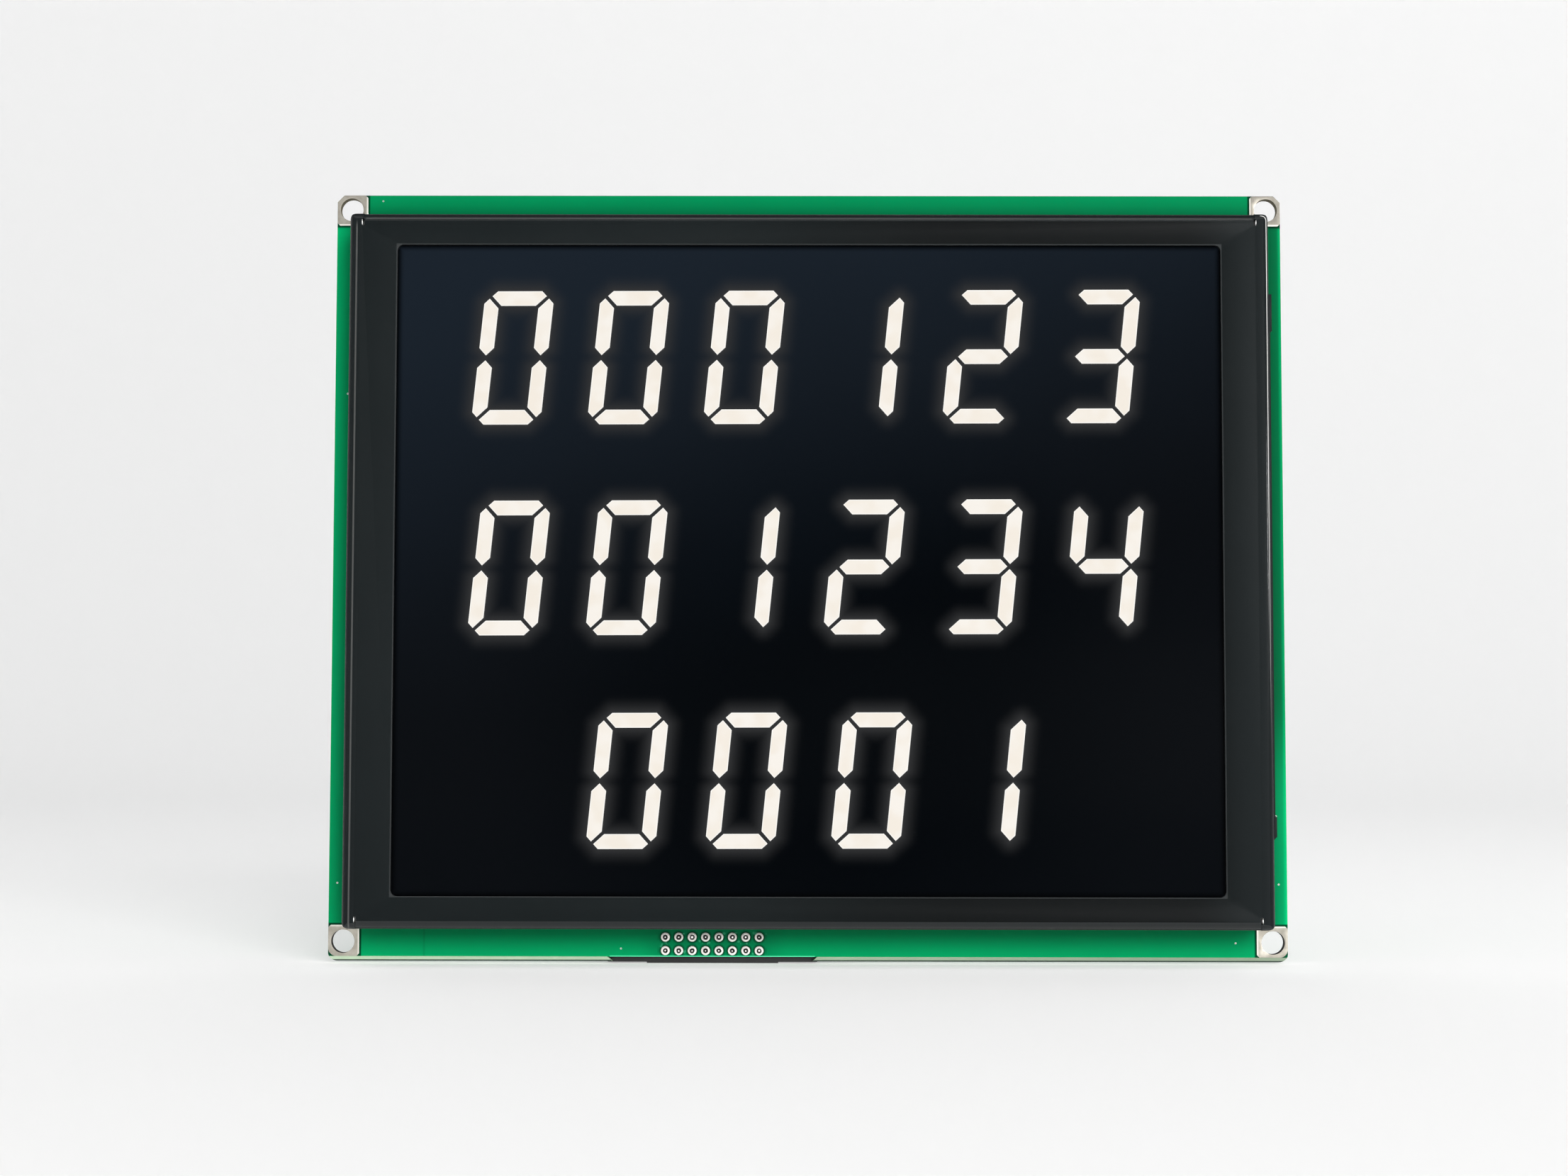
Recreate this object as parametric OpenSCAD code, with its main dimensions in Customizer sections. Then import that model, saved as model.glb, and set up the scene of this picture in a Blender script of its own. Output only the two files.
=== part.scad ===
// Segment LCD module: a folded metal bezel holds the glass, its backlight and
// two contact strips on a green circuit board, with a latched header behind it.
// It stands upright as it is used: X runs right, Z up, and the glass faces -Y.
// The origin is the middle of the four mounting holes, on the lands' rear face.

/* [Window] */
// Width of the window in the bezel
window_w = 154.8; // [144:0.2:200]
// Height of the window in the bezel
window_h = 122; // [116:0.2:160]
// Radius of the window's corners
window_r = 1.2; // [0.4:0.1:4]

/* [Bezel] */
// Width of the bezel's face beside the window
border_side = 9.1; // [6.6:0.1:20]
// Height of the bezel's face above and below the window
border_top = 6.1; // [5.4:0.1:20]
// Depth of the bezel in front of the board
bezel_depth = 12.2; // [11:0.1:18]
// Thickness of the bezel's sheet
sheet_t = 0.8; // [0.5:0.05:1.2]
// Outer radius of the fold along the sides and round the corners
fold_r = 1.3; // [1.2:0.05:1.6]
// Outer radius of the fold along the top and bottom, between the relief slits
bend_r = 1.9; // [1.7:0.05:2.2]
// Outer radius of the bezel's four corners
corner_r = 1.5; // [1.2:0.1:3]
// Distance from the bezel's side to each relief slit
relief_side = 2.6; // [2:0.1:6]
// Distance from the bezel's top or bottom to each relief slit
relief_top = 1.8; // [1.2:0.1:4]
// Width of a relief slit
relief_w = 0.5; // [0.3:0.05:0.9]
// Length of a relief slit
relief_len = 1.3; // [1:0.1:2.4]
// Height above the middle of the top end of the band pressed out of the right wall
band_top = 51.9; // [48:0.1:56]
// Depth below the middle of the band's bottom end
band_bottom = 50.4; // [46:0.1:54]
// How far the band stands out of the wall
band_out = 0.3; // [0.1:0.05:0.4]
// How far the lug at each end of the band stands out
lug_out = 0.6; // [0.4:0.05:0.7]
// Length of the band's upper lug
upper_lug_len = 7; // [3:0.1:8]
// Length of the band's lower lug
lower_lug_len = 4.3; // [3:0.1:8]
// Distance from the board to the band
band_rise = 1.5; // [0.5:0.1:3]

/* [Bezel tabs] */
// Width of a fixing tab
tab_w = 3; // [2:0.1:5]
// Spacing of the tabs along the top and bottom
tab_pitch = 43; // [30:0.5:46]
// Height of the side tabs above and below the middle
tab_rise = 38; // [20:0.5:50]
// Length of the part of a tab that lies on the board
tab_fold = 2.8; // [2:0.1:4]
// Play of a tab in its slot, all round
tab_play = 0.2; // [0.1:0.05:0.4]

/* [Board] */
// Width of the board beside the bezel
board_side = 4.5; // [4.4:0.1:20]
// Height of the board above and below the bezel
board_top = 5.9; // [5.8:0.1:20]
// Thickness of the board
board_t = 1.6; // [1:0.1:2.4]
// Radius of the board's lower corners
board_r = 1.6; // [1.2:0.1:2.6]
// Cut across the board's upper corners
board_cut = 1.3; // [0.6:0.1:2]
// Height of the bare slanted edge along the bottom
scored_edge = 0.95; // [0.3:0.05:1.1]

/* [Mounting] */
// Distance from the board's sides to the mounting holes
hole_side = 2.8; // [2.7:0.05:4]
// Distance from the board's top to the mounting holes
hole_top = 2.8; // [2.7:0.05:3.2]
// Bore of a mounting hole, through its plating
hole_bore = 4.4; // [3:0.1:4.6]
// Side of the square land round a mounting hole
land_side = 5.9; // [5.8:0.05:6]
// Thickness of a land and of the plating in its hole
land_t = 0.1; // [0.05:0.01:0.2]
// Cut across a land's other three corners
land_cut = 0.5; // [0.2:0.1:1]

/* [Glass] */
// Thickness of each sheet of glass
glass_t = 1.1; // [0.7:0.1:1.4]
// Thickness of each polariser
film_t = 0.2; // [0.1:0.05:0.3]
// Play between the glass and the bezel's walls
glass_play = 0.4; // [0.2:0.05:0.8]
// Height of the front glass's contact ledge beyond the rear glass
ledge = 3.6; // [3:0.1:4.4]
// How far the front polariser goes behind the bezel
film_lap = 2.4; // [1:0.1:2.8]
// How far the rear polariser stays inside the rear glass
film_inset = 1; // [0.5:0.1:3]
// Thickness of a contact strip
strip_t = 2.4; // [1.6:0.1:2.6]
// How far a contact strip stays short of the glass at each end
strip_inset = 3; // [1:0.5:20]

/* [Digits] */
// Height of a digit
digit_h = 25.4; // [16:0.1:32]
// Width of a digit before it leans
digit_w = 13.2; // [9:0.1:16]
// Width of a segment
segment_w = 2.92; // [1.6:0.02:3.4]
// Gap between two segments
segment_gap = 0.54; // [0.3:0.02:1]
// Cut across the outer corners of a digit
digit_cut = 2.4; // [1.4:0.1:3.4]
// Lean of the digits
digit_lean = 5.8; // [0:0.1:10]
// Distance between two digits' middles
digit_pitch = 22.2; // [20:0.1:23]
// Distance between two rows' middles
row_pitch = 39.9; // [34:0.1:42]
// How far left of the window's middle the digits stand
digits_left = 0.65; // [0:0.05:2]
// How far above the window's middle the middle row stands
digits_up = 0.5; // [0:0.05:2]

/* [Backlight] */
// Thickness of the light guide
guide_t = 4; // [3:0.1:5]
// Thickness of the diffuser
diffuser_t = 0.3; // [0.2:0.05:0.5]
// Thickness of the reflector
reflector_t = 0.2; // [0.1:0.05:0.4]
// Thickness of the housing's walls and floor
housing_t = 1.2; // [0.8:0.1:1.6]
// Play of the sheets in the housing
sheet_play = 0.1; // [0.05:0.05:0.3]
// Thickness of a strip board
led_board_t = 1; // [0.6:0.1:1.4]
// Depth of a lamp off its strip board
led_depth = 1.8; // [1.2:0.1:2.4]
// Width of a lamp across the light guide's edge
led_w = 2.8; // [1.6:0.1:3]
// Length of a lamp along the light guide's edge
led_len = 3.5; // [2:0.1:5]
// Gap between a lamp and the light guide
led_gap = 0.3; // [0.1:0.05:0.8]
// Spacing of the lamps
led_pitch = 13.6; // [8:0.2:15]
// Number of lamps at each end
led_count = 8; // [2:1:8]
// Length of a strip board beyond its last lamp
led_board_end = 2; // [1:0.5:4]
// Diameter of a backlight lead
lead_d = 0.8; // [0.5:0.05:0.9]
// Spacing of the two leads of a strip board
lead_pitch = 5.08; // [2.54:0.02:10.16]
// Length of a lead's tail behind the board
lead_tail = 1.4; // [0.8:0.1:2]
// Width of the solder's foot round a lead
lead_solder_w = 0.55; // [0.4:0.05:0.8]
// Width of the solder's crest round a lead
lead_solder_top = 0.12; // [0.05:0.01:0.3]
// Height of the solder round a lead
lead_solder_h = 0.9; // [0.5:0.1:1.2]

/* [Header] */
// Number of pins along the header
header_columns = 8; // [5:1:10]
// Pitch of the pins
pin_pitch = 2.54; // [2.4:0.02:2.6]
// Side of a square pin
pin_side = 0.64; // [0.5:0.01:0.7]
// Bore of a pin's hole in the board
pin_bore = 1.02; // [1:0.01:1.2]
// How far left of the board's middle the header stands
header_left = 18.1; // [14:0.1:22]
// Distance from the lower pins to the board's flat bottom edge
pin_edge = 1.13; // [1.1:0.01:1.3]
// Length of the pins' tips in front of the board
pin_tip = 0.35; // [0.2:0.05:0.5]
// Diameter of the solder round a pin
solder_d = 1.7; // [1.4:0.05:1.9]
// Height of the solder's crest off the board
solder_h = 0.3; // [0.26:0.02:0.5]
// Height of the solder's outer rim off the board
solder_rim = 0.14; // [0.1:0.02:0.24]
// Height of the solder's inner lip off the board
solder_lip = 0.24; // [0.14:0.02:0.26]
// Thickness of the solder under the crater round a pin's tip
solder_floor = 0.1; // [0.04:0.02:0.12]
// Height of the header's walls behind the board
header_h = 9.2; // [8:0.1:10]
// Width of the header across its walls
header_w = 7.5; // [7.4:0.05:9.4]
// Thickness of the header's long walls
header_wall = 0.6; // [0.5:0.05:0.8]
// Thickness of the header's floor
header_floor = 2.3; // [2:0.1:2.6]
// Distance from the last pin to the header's end wall
header_room = 2.1; // [2:0.05:4]
// Thickness of the header's end walls
header_end = 1.5; // [1:0.1:2]
// Width of the keying slot
key_w = 4.5; // [3:0.1:5]
// Height of the pins above the header's floor
pin_h = 5.8; // [4:0.1:6]

/* [Latches] */
// Length of each ear that carries a latch
ear_len = 7.45; // [7:0.05:9]
// Width across the two cheeks of an ear
ear_w = 7; // [6.6:0.05:7.2]
// Height of an ear behind the board
ear_h = 6.4; // [5.6:0.1:8]
// Thickness of the floor under a latch
ear_floor = 1.2; // [0.8:0.1:1.3]
// Wall left above the pivot's bore at an ear's slanted end
ear_rim = 1; // [0.6:0.1:1.6]
// Width of a latch
latch_w = 4.4; // [4:0.05:4.6]
// Play at each side of a latch
latch_play = 0.1; // [0.05:0.01:0.2]
// Diameter of a latch's pivot pin
pivot_d = 2; // [1.6:0.1:2.2]
// Radial clearance of the pivot pin
pivot_play = 0.05; // [0.02:0.01:0.1]
// Distance from the pivot to the ear's end
pivot_in = 3.6; // [3.4:0.1:4]
// Radius of the latch's round heel
heel_r = 2.1; // [1.9:0.05:2.3]
// Clearance of the heel over the floor
heel_play = 0.12; // [0.1:0.01:0.3]
// Length of the latch's arm from the pivot
arm_len = 12; // [10:0.1:16]
// Thickness of the latch's arm
arm_t = 3.1; // [2.4:0.1:3.6]
// Reach of the hook at the top of the arm
hook_len = 3.4; // [2:0.1:3.6]
// Height of the hook
hook_h = 2; // [1.4:0.1:3]
// Height of the slant under the hook and under the thumb pad
hook_slant = 1.2; // [0.6:0.1:2]
// Reach of the thumb pad, away from the plug
thumb_reach = 0.8; // [0.4:0.1:1.6]
// Reach of the toe under the plug, from the pivot
toe_len = 6.4; // [5.8:0.05:6.6]
// Thickness of the toe
toe_t = 1; // [0.7:0.05:1]
// Clearance at the end of the toe
toe_play = 0.3; // [0.2:0.05:0.5]
// Opening angle of the latches, for a look at them open
latch_open = 0; // [0:1:35]

/* [Rear parts] */
// Side of a driver's body
driver_side = 10; // [7:0.5:12]
// Height of a driver's body off the board
driver_h = 1.5; // [1:0.1:2]
// Number of leads on each side of a driver
driver_leads = 11; // [5:1:11]
// Pitch of a driver's leads
driver_pitch = 0.8; // [0.5:0.05:0.8]
// Distance between the two drivers' middles
driver_gap = 56; // [24:1:80]
// Height of the drivers above the board's middle
driver_up = 12; // [-10:1:30]
// Gap between a driver's body and the board
driver_standoff = 0.1; // [0.05:0.05:0.2]
// Thickness of a lead
lead_t = 0.15; // [0.1:0.01:0.2]
// Width of a driver's lead
driver_lead_w = 0.32; // [0.2:0.02:0.4]
// Length of a lead's level part beside the body
lead_shoulder = 0.3; // [0.2:0.05:0.5]
// Length of a lead's foot on the board
lead_foot = 0.5; // [0.3:0.05:0.8]
// Length of a small chip
chip_len = 2; // [1.6:0.1:3.2]
// Width of a small chip
chip_w = 1.25; // [0.8:0.05:1.6]
// Length of a small chip's tinned end cap
chip_cap_len = 0.4; // [0.2:0.05:0.6]
// How far an end cap stands proud of its chip
chip_cap_t = 0.04; // [0.02:0.01:0.08]
// Spacing of the small chips
chip_pitch = 4; // [3:0.1:6]
// Height of a resistor off the board
resistor_h = 0.55; // [0.4:0.05:0.8]
// Height of a capacitor off the board
capacitor_h = 1; // [0.6:0.05:1.4]
// Distance from the header's middle up to the resistors and the transistor
rear_row_up = 14; // [8:0.5:20]
// Distance from a driver's middle down to its small chips
driver_row_down = 10; // [9:0.5:16]
// Distance from the board's middle to the header's resistors
resistors_left = 9; // [5:0.5:20]
// Distance from the board's middle to the transistor
transistor_right = 18; // [10:0.5:40]
// Length of the transistor's body
transistor_len = 2.9; // [2:0.1:4]
// Width of the transistor's body
transistor_w = 1.3; // [1:0.1:2]
// Height of the transistor's body
transistor_h = 1; // [0.8:0.1:1.4]
// Width of a transistor's lead
transistor_lead_w = 0.42; // [0.3:0.02:0.5]
// Distance between the transistor's two leads on one side
transistor_pitch = 1.9; // [1.6:0.1:2]

/* [Hidden] */
$fn = 48;
// Facets round the smallest bores and slits, and round pins, pivots and solder
BORE_FACETS = 24;
PIN_FACETS = 32;
// How far a cut runs on past the face that it opens
past = 1;

// Lengths along the depth, forward from the lands' rear face
board_back = land_t;
board_front = board_back + board_t;
bezel_front = board_front + bezel_depth;
film_front = bezel_front - sheet_t;
front_glass_z = film_front - film_t - glass_t;
rear_glass_z = front_glass_z - glass_t;
rear_film_z = rear_glass_z - film_t;
diffuser_z = rear_film_z - diffuser_t;
guide_z = diffuser_z - guide_t;
reflector_z = guide_z - reflector_t;
floor_z = reflector_z - housing_t;

// Sizes of the bezel and board
bezel_w = window_w + 2 * border_side;
bezel_h = window_h + 2 * border_top;
board_w = bezel_w + 2 * board_side;
board_h = bezel_h + 2 * board_top;
hole_x = board_w / 2 - hole_side;
hole_y = board_h / 2 - hole_top;
land_bore = hole_bore + 2 * land_t;

// Sizes of the glass and what backs it
glass_w = bezel_w - 2 * (sheet_t + glass_play);
front_glass_h = bezel_h - 2 * (sheet_t + glass_play);
rear_glass_h = front_glass_h - 2 * ledge;
strip_y = (front_glass_h + rear_glass_h) / 4;
housing_in_w = glass_w - 2 * housing_t;
housing_in_h = rear_glass_h - 2 * housing_t;
sheets_w = housing_in_w - 2 * sheet_play;
sheets_h = housing_in_h - 2 * sheet_play;
led_board_x = sheets_w / 2 - led_board_t;
led_x = led_board_x - led_depth;
guide_w = 2 * (led_x - led_gap);
led_board_h = (led_count - 1) * led_pitch + led_len + 2 * led_board_end;
lead_x = led_board_x + led_board_t / 2;

// Places of the tabs along each side
tab_columns = [for (i = [-1.5 : 1.5]) i * tab_pitch];
tab_x = bezel_w / 2;
tab_y = bezel_h / 2;

// Places of the header and its latches
header_y = -board_h / 2 + pin_edge + pin_pitch / 2;
header_cavity = (header_columns - 1) * pin_pitch + 2 * header_room;
header_len = header_cavity + 2 * header_end;
ears_len = header_len + 2 * ear_len;
latch_slot = latch_w + 2 * latch_play;
pivot_x = ears_len / 2 - pivot_in;
pivot_z = ear_floor + heel_play + heel_r;
header_mid = [-header_left, header_y, 0];

// Digits shown: the segments lit for each figure, from a at the top, clockwise, to g
FIGURES = [
    [1, 1, 1, 1, 1, 1, 0], [0, 1, 1, 0, 0, 0, 0], [1, 1, 0, 1, 1, 0, 1],
    [1, 1, 1, 1, 0, 0, 1], [0, 1, 1, 0, 0, 1, 1]
];
// Figures of each row, and how far each stands off the even pitch
TOP_FIGURES = [0, 0, 0, 1, 2, 3];
TOP_SHIFTS = [0.4, 0, -0.4, -0.1, 0.1, -0.1];
MIDDLE_FIGURES = [0, 0, 1, 2, 3, 4];
MIDDLE_SHIFTS = [0, -0.1, -1.2, 0, -0.1, 0.4];
BOTTOM_FIGURES = [0, 0, 0, 1];
BOTTOM_SHIFTS = [0.1, 0.2, 1.4, 0.5];

// Stands a shape drawn in the X-Y plane upright, z forward of the lands' rear face
module forward(z) {
    rotate([90, 0, 0]) translate([0, 0, z]) children();
}

// Stands a shape upright so that its own Z runs backward from the board's rear face
module backward() {
    rotate([90, 0, 0]) translate([0, 0, board_back]) mirror([0, 0, 1]) children();
}

module rounded_rect(w, h, r) {
    square([w - 2 * r, h], center = true);
    square([w, h - 2 * r], center = true);
    for (x = [-1, 1], y = [-1, 1])
        translate([x * (w / 2 - r), y * (h / 2 - r)]) circle(r);
}

// A block whose front edges and upright corners are all rounded
module folded_block(w, h, depth, edge_r, plan_r) {
    intersection() {
        linear_extrude(depth) rounded_rect(w, h, plan_r);
        rotate([90, 0, 0]) translate([0, 0, -h / 2]) linear_extrude(h) folded_section(w, depth, edge_r);
        rotate([90, 0, 90]) translate([0, 0, -w / 2]) linear_extrude(w) folded_section(h, depth, edge_r);
    }
}

module folded_section(w, depth, r) {
    translate([-w / 2, 0]) square([w, depth - r]);
    translate([r - w / 2, 0]) square([w - 2 * r, depth]);
    for (x = [-1, 1]) translate([x * (w / 2 - r), depth - r]) circle(r);
}

// A tab at the right of the origin: down through the board, then folded under it to the left
module tab() {
    reach = board_t + sheet_t;
    rotate([90, 0, 0]) translate([0, 0, -tab_w / 2]) linear_extrude(tab_w) {
        translate([-sheet_t, -board_t]) square([sheet_t, board_t + sheet_t]);
        translate([-tab_fold, -reach]) square([tab_fold - sheet_t, sheet_t]);
        intersection() {
            translate([-sheet_t, -board_t]) circle(sheet_t);
            translate([-sheet_t, -reach]) square(sheet_t);
        }
    }
}

module tab_slot() {
    translate([-sheet_t - tab_play, -tab_w / 2 - tab_play])
        square([sheet_t + 2 * tab_play, tab_w + 2 * tab_play]);
}

// Puts its child at each tab's place, facing out from the middle
module at_tabs() {
    for (side = [0, 180], y = [-tab_rise, tab_rise]) rotate(side) translate([tab_x, y]) children();
    for (x = tab_columns) translate([x, tab_y]) rotate(90) children();
    for (x = tab_columns)
        if (abs(x + header_left) > (ears_len + tab_w) / 2) translate([x, -tab_y]) rotate(-90) children();
}

// Cuts the longer-radius fold along the bottom, between the two slits there
module bend_cut() {
    translate([0, -bezel_h / 2, bezel_depth]) rotate([90, 0, 90])
        linear_extrude(bezel_w - 2 * relief_side, center = true) difference() {
            translate([-sheet_t, -bend_r]) square([bend_r + sheet_t, bend_r + sheet_t]);
            translate([bend_r, -bend_r]) circle(bend_r);
        }
}

// The band pressed out of the right wall, with a lug at each end, set back into the wall
module side_band(set_back) {
    top = band_top - set_back;
    bottom = set_back - band_bottom;
    translate([bezel_w / 2 - set_back, 0, band_rise]) linear_extrude(bezel_depth - fold_r - band_rise)
        polygon([
            [-sheet_t / 2, top], [lug_out, top], [lug_out, band_top - upper_lug_len],
            [band_out, band_top - upper_lug_len], [band_out, lower_lug_len - band_bottom],
            [lug_out, lower_lug_len - band_bottom], [lug_out, bottom + lug_out], [0, bottom],
            [-sheet_t / 2, bottom]
        ]);
}

module relief_slit() {
    square([relief_w, relief_len - relief_w], center = true);
    for (y = [-1, 1]) translate([0, y * (relief_len - relief_w) / 2]) circle(relief_w / 2, $fn = BORE_FACETS);
}

module bezel() {
    inner_w = bezel_w - 2 * sheet_t;
    inner_h = bezel_h - 2 * sheet_t;
    color([0.13, 0.14, 0.15]) forward(board_front) {
        difference() {
            union() {
                folded_block(bezel_w, bezel_h, bezel_depth, fold_r, corner_r);
                side_band(0);
            }
            folded_block(inner_w, inner_h, bezel_depth - sheet_t, fold_r - sheet_t, corner_r - sheet_t);
            side_band(sheet_t);
            bend_cut();
            mirror([0, 1, 0]) bend_cut();
            linear_extrude(bezel_depth + past) rounded_rect(window_w, window_h, window_r);
            for (x = [-1, 1], y = [-1, 1])
                translate([x * (bezel_w / 2 - relief_side), y * (bezel_h / 2 - relief_top)])
                    linear_extrude(bezel_depth + past) relief_slit();
        }
        at_tabs() tab();
    }
}

// Outlines of the seven segments of one upright digit, from a at the top, clockwise, to g.
// Each is cut back by half the gap from the lines at 45 degrees that part it from the next.
function mirrored(points, sx, sy) = [for (p = points) [sx * p[0], sy * p[1]]];
function segment_outlines() = let(
    w = digit_w / 2, h = digit_h / 2, t = segment_w, c = digit_cut, k = segment_gap / sqrt(2),
    top = [
        [c - w, h], [(c + k) / 2 - w, h - (c - k) / 2], [t + k - w, h - t],
        [w - t - k, h - t], [w - (c + k) / 2, h - (c - k) / 2], [w - c, h]
    ],
    side = [
        [w, h - c], [w - (c - k) / 2, h - (c + k) / 2], [w - t, h - t - k],
        [w - t, t / 2 + k], [w - t / 2, k], [w, t / 2 + k]
    ],
    middle = [
        [t / 2 + k - w, 0], [t + k - w, t / 2], [w - t - k, t / 2],
        [w - t / 2 - k, 0], [w - t - k, -t / 2], [t + k - w, -t / 2]
    ]
) [
    top, side, mirrored(side, 1, -1), mirrored(top, 1, -1), mirrored(side, -1, -1),
    mirrored(side, -1, 1), middle
];
function leaned(points) = [for (p = points) [p[0] + p[1] * tan(digit_lean), p[1]]];

// The lit segments of one row, as flat outlines
module lit_row(figures, shifts, y) {
    outlines = segment_outlines();
    for (i = [0 : len(figures) - 1], s = [0 : 6])
        if (FIGURES[figures[i]][s] == 1)
            translate([(i - (len(figures) - 1) / 2) * digit_pitch + shifts[i] - digits_left, y])
                polygon(leaned(outlines[s]));
}

module top_row() { lit_row(TOP_FIGURES, TOP_SHIFTS, digits_up + row_pitch); }
module middle_row() { lit_row(MIDDLE_FIGURES, MIDDLE_SHIFTS, digits_up); }
module bottom_row() { lit_row(BOTTOM_FIGURES, BOTTOM_SHIFTS, digits_up - row_pitch); }

// The dark film in front: it is open where a segment is lit
module front_polariser() {
    color([0.06, 0.08, 0.11]) forward(film_front - film_t) linear_extrude(film_t) difference() {
        square([window_w + 2 * film_lap, window_h + 2 * film_lap], center = true);
        top_row();
        middle_row();
        bottom_row();
    }
}

module digits_top() {
    color([0.98, 0.96, 0.9]) forward(film_front - film_t) linear_extrude(film_t) top_row();
}

module digits_middle() {
    color([0.98, 0.96, 0.9]) forward(film_front - film_t) linear_extrude(film_t) middle_row();
}

module digits_bottom() {
    color([0.98, 0.96, 0.9]) forward(film_front - film_t) linear_extrude(film_t) bottom_row();
}

module front_glass() {
    color([0.55, 0.62, 0.64]) forward(front_glass_z) linear_extrude(glass_t)
        square([glass_w, front_glass_h], center = true);
}

module rear_glass() {
    color([0.5, 0.57, 0.6]) forward(rear_glass_z) linear_extrude(glass_t)
        square([glass_w, rear_glass_h], center = true);
}

module rear_polariser() {
    color([0.16, 0.17, 0.2]) forward(rear_film_z) linear_extrude(film_t)
        square([glass_w - 2 * film_inset, rear_glass_h - 2 * film_inset], center = true);
}

// A striped rubber strip that joins the glass's contacts to the board's
module contact_strip(y) {
    color([0.85, 0.6, 0.6]) forward(board_front) translate([0, y, 0])
        linear_extrude(front_glass_z - board_front)
            square([glass_w - 2 * strip_inset, strip_t], center = true);
}

module contact_strip_top() { contact_strip(strip_y); }
module contact_strip_bottom() { contact_strip(-strip_y); }

module diffuser() {
    color([0.93, 0.94, 0.95]) forward(diffuser_z) linear_extrude(diffuser_t)
        square([sheets_w, sheets_h], center = true);
}

module light_guide() {
    color([0.86, 0.92, 0.95]) forward(guide_z) linear_extrude(guide_t)
        square([guide_w, sheets_h], center = true);
}

module reflector() {
    color([0.97, 0.97, 0.97]) forward(reflector_z) linear_extrude(reflector_t)
        square([guide_w, sheets_h], center = true);
}

module at_leads() {
    for (x = [-1, 1], y = [-1, 1]) translate([x * lead_x, y * lead_pitch / 2]) children();
}

// The white tray of the backlight: walls that stand on the board, and a floor part way up
module backlight_housing() {
    color([0.95, 0.95, 0.93]) forward(board_front) difference() {
        linear_extrude(rear_film_z - board_front) square([glass_w, rear_glass_h], center = true);
        translate([0, 0, reflector_z - board_front]) linear_extrude(bezel_depth)
            square([housing_in_w, housing_in_h], center = true);
        translate([0, 0, -past]) linear_extrude(floor_z - board_front + past)
            square([housing_in_w, housing_in_h], center = true);
        linear_extrude(bezel_depth) at_leads() circle(lead_d / 2 + sheet_play, $fn = BORE_FACETS);
    }
}

module led_board(side) {
    color([0.2, 0.45, 0.3]) forward(reflector_z)
        translate([side * (led_board_x + led_board_t / 2), 0, 0])
            linear_extrude(diffuser_z - reflector_z) square([led_board_t, led_board_h], center = true);
}

module led_board_left() { led_board(-1); }
module led_board_right() { led_board(1); }

module leds(side) {
    color([0.98, 0.95, 0.75]) forward(guide_z + (guide_t - led_w) / 2) linear_extrude(led_w)
        for (i = [0 : led_count - 1])
            translate([side * (led_x + led_depth / 2), (i - (led_count - 1) / 2) * led_pitch])
                square([led_depth, led_len], center = true);
}

module leds_left() { leds(-1); }
module leds_right() { leds(1); }

module backlight_leads() {
    length = reflector_z - board_back + lead_tail;
    color([0.8, 0.8, 0.8]) forward(board_back - lead_tail) linear_extrude(length)
        at_leads() circle(lead_d / 2, $fn = BORE_FACETS);
}

module at_corners() {
    for (x = [-1, 1], y = [-1, 1]) translate([x * hole_x, y * hole_y]) children();
}

module at_pins() {
    for (i = [0 : header_columns - 1], row = [-1, 1])
        translate([(i - (header_columns - 1) / 2) * pin_pitch - header_left, header_y + row * pin_pitch / 2])
            children();
}

// The board's outline: its upper corners are cut at 45 degrees and its lower ones are round
module board_outline() {
    difference() {
        union() {
            translate([0, -scored_edge / 2]) rounded_rect(board_w, board_h + scored_edge, board_r);
            translate([-board_w / 2, 0]) square([board_w, board_h / 2]);
        }
        for (x = [-1, 1]) translate([x * board_w / 2, board_h / 2])
            rotate(45) square(sqrt(2) * board_cut, center = true);
    }
}

// The green laminate: a scored lower edge slants back from the flat face, and is
// notched to full depth behind the header
module board() {
    color([0.02, 0.5, 0.3]) forward(board_back) difference() {
        linear_extrude(board_t) board_outline();
        translate([0, -board_h / 2, board_t]) rotate([0, 90, 0]) linear_extrude(2 * board_w, center = true)
            polygon([
                [0, 0], [scored_edge, -scored_edge], [scored_edge, -board_r],
                [-board_t, -board_r], [-board_t, 0]
            ]);
        translate([-header_left, -board_h / 2, 0]) linear_extrude(3 * board_t, center = true)
            polygon([
                [-ears_len / 2, 0], [ears_len / 2, 0], [ears_len / 2 - board_r, -board_r],
                [board_r - ears_len / 2, -board_r]
            ]);
        linear_extrude(3 * board_t, center = true) {
            at_corners() circle(land_bore / 2);
            at_pins() circle(pin_bore / 2, $fn = BORE_FACETS);
            at_leads() circle(lead_d / 2 + sheet_play, $fn = BORE_FACETS);
            at_tabs() tab_slot();
        }
    }
}

// A land's outline at the board's upper or lower right corner
module land_outline(upper) {
    x = board_w / 2;
    y = board_h / 2;
    far = land_side - land_cut;
    corner = upper
        ? [[x, y - board_cut], [x - board_cut, y]]
        : [[x, y - board_r], [x - board_r, y - board_r], [x - board_r, y]];
    polygon([
        [x - land_side, y - far], [x - far, y - land_side], [x - land_cut, y - land_side],
        [x, y - far], each corner, [x - far, y], [x - land_side, y - land_cut]
    ]);
    if (!upper) translate([x - board_r, y - board_r]) circle(board_r);
}

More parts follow.
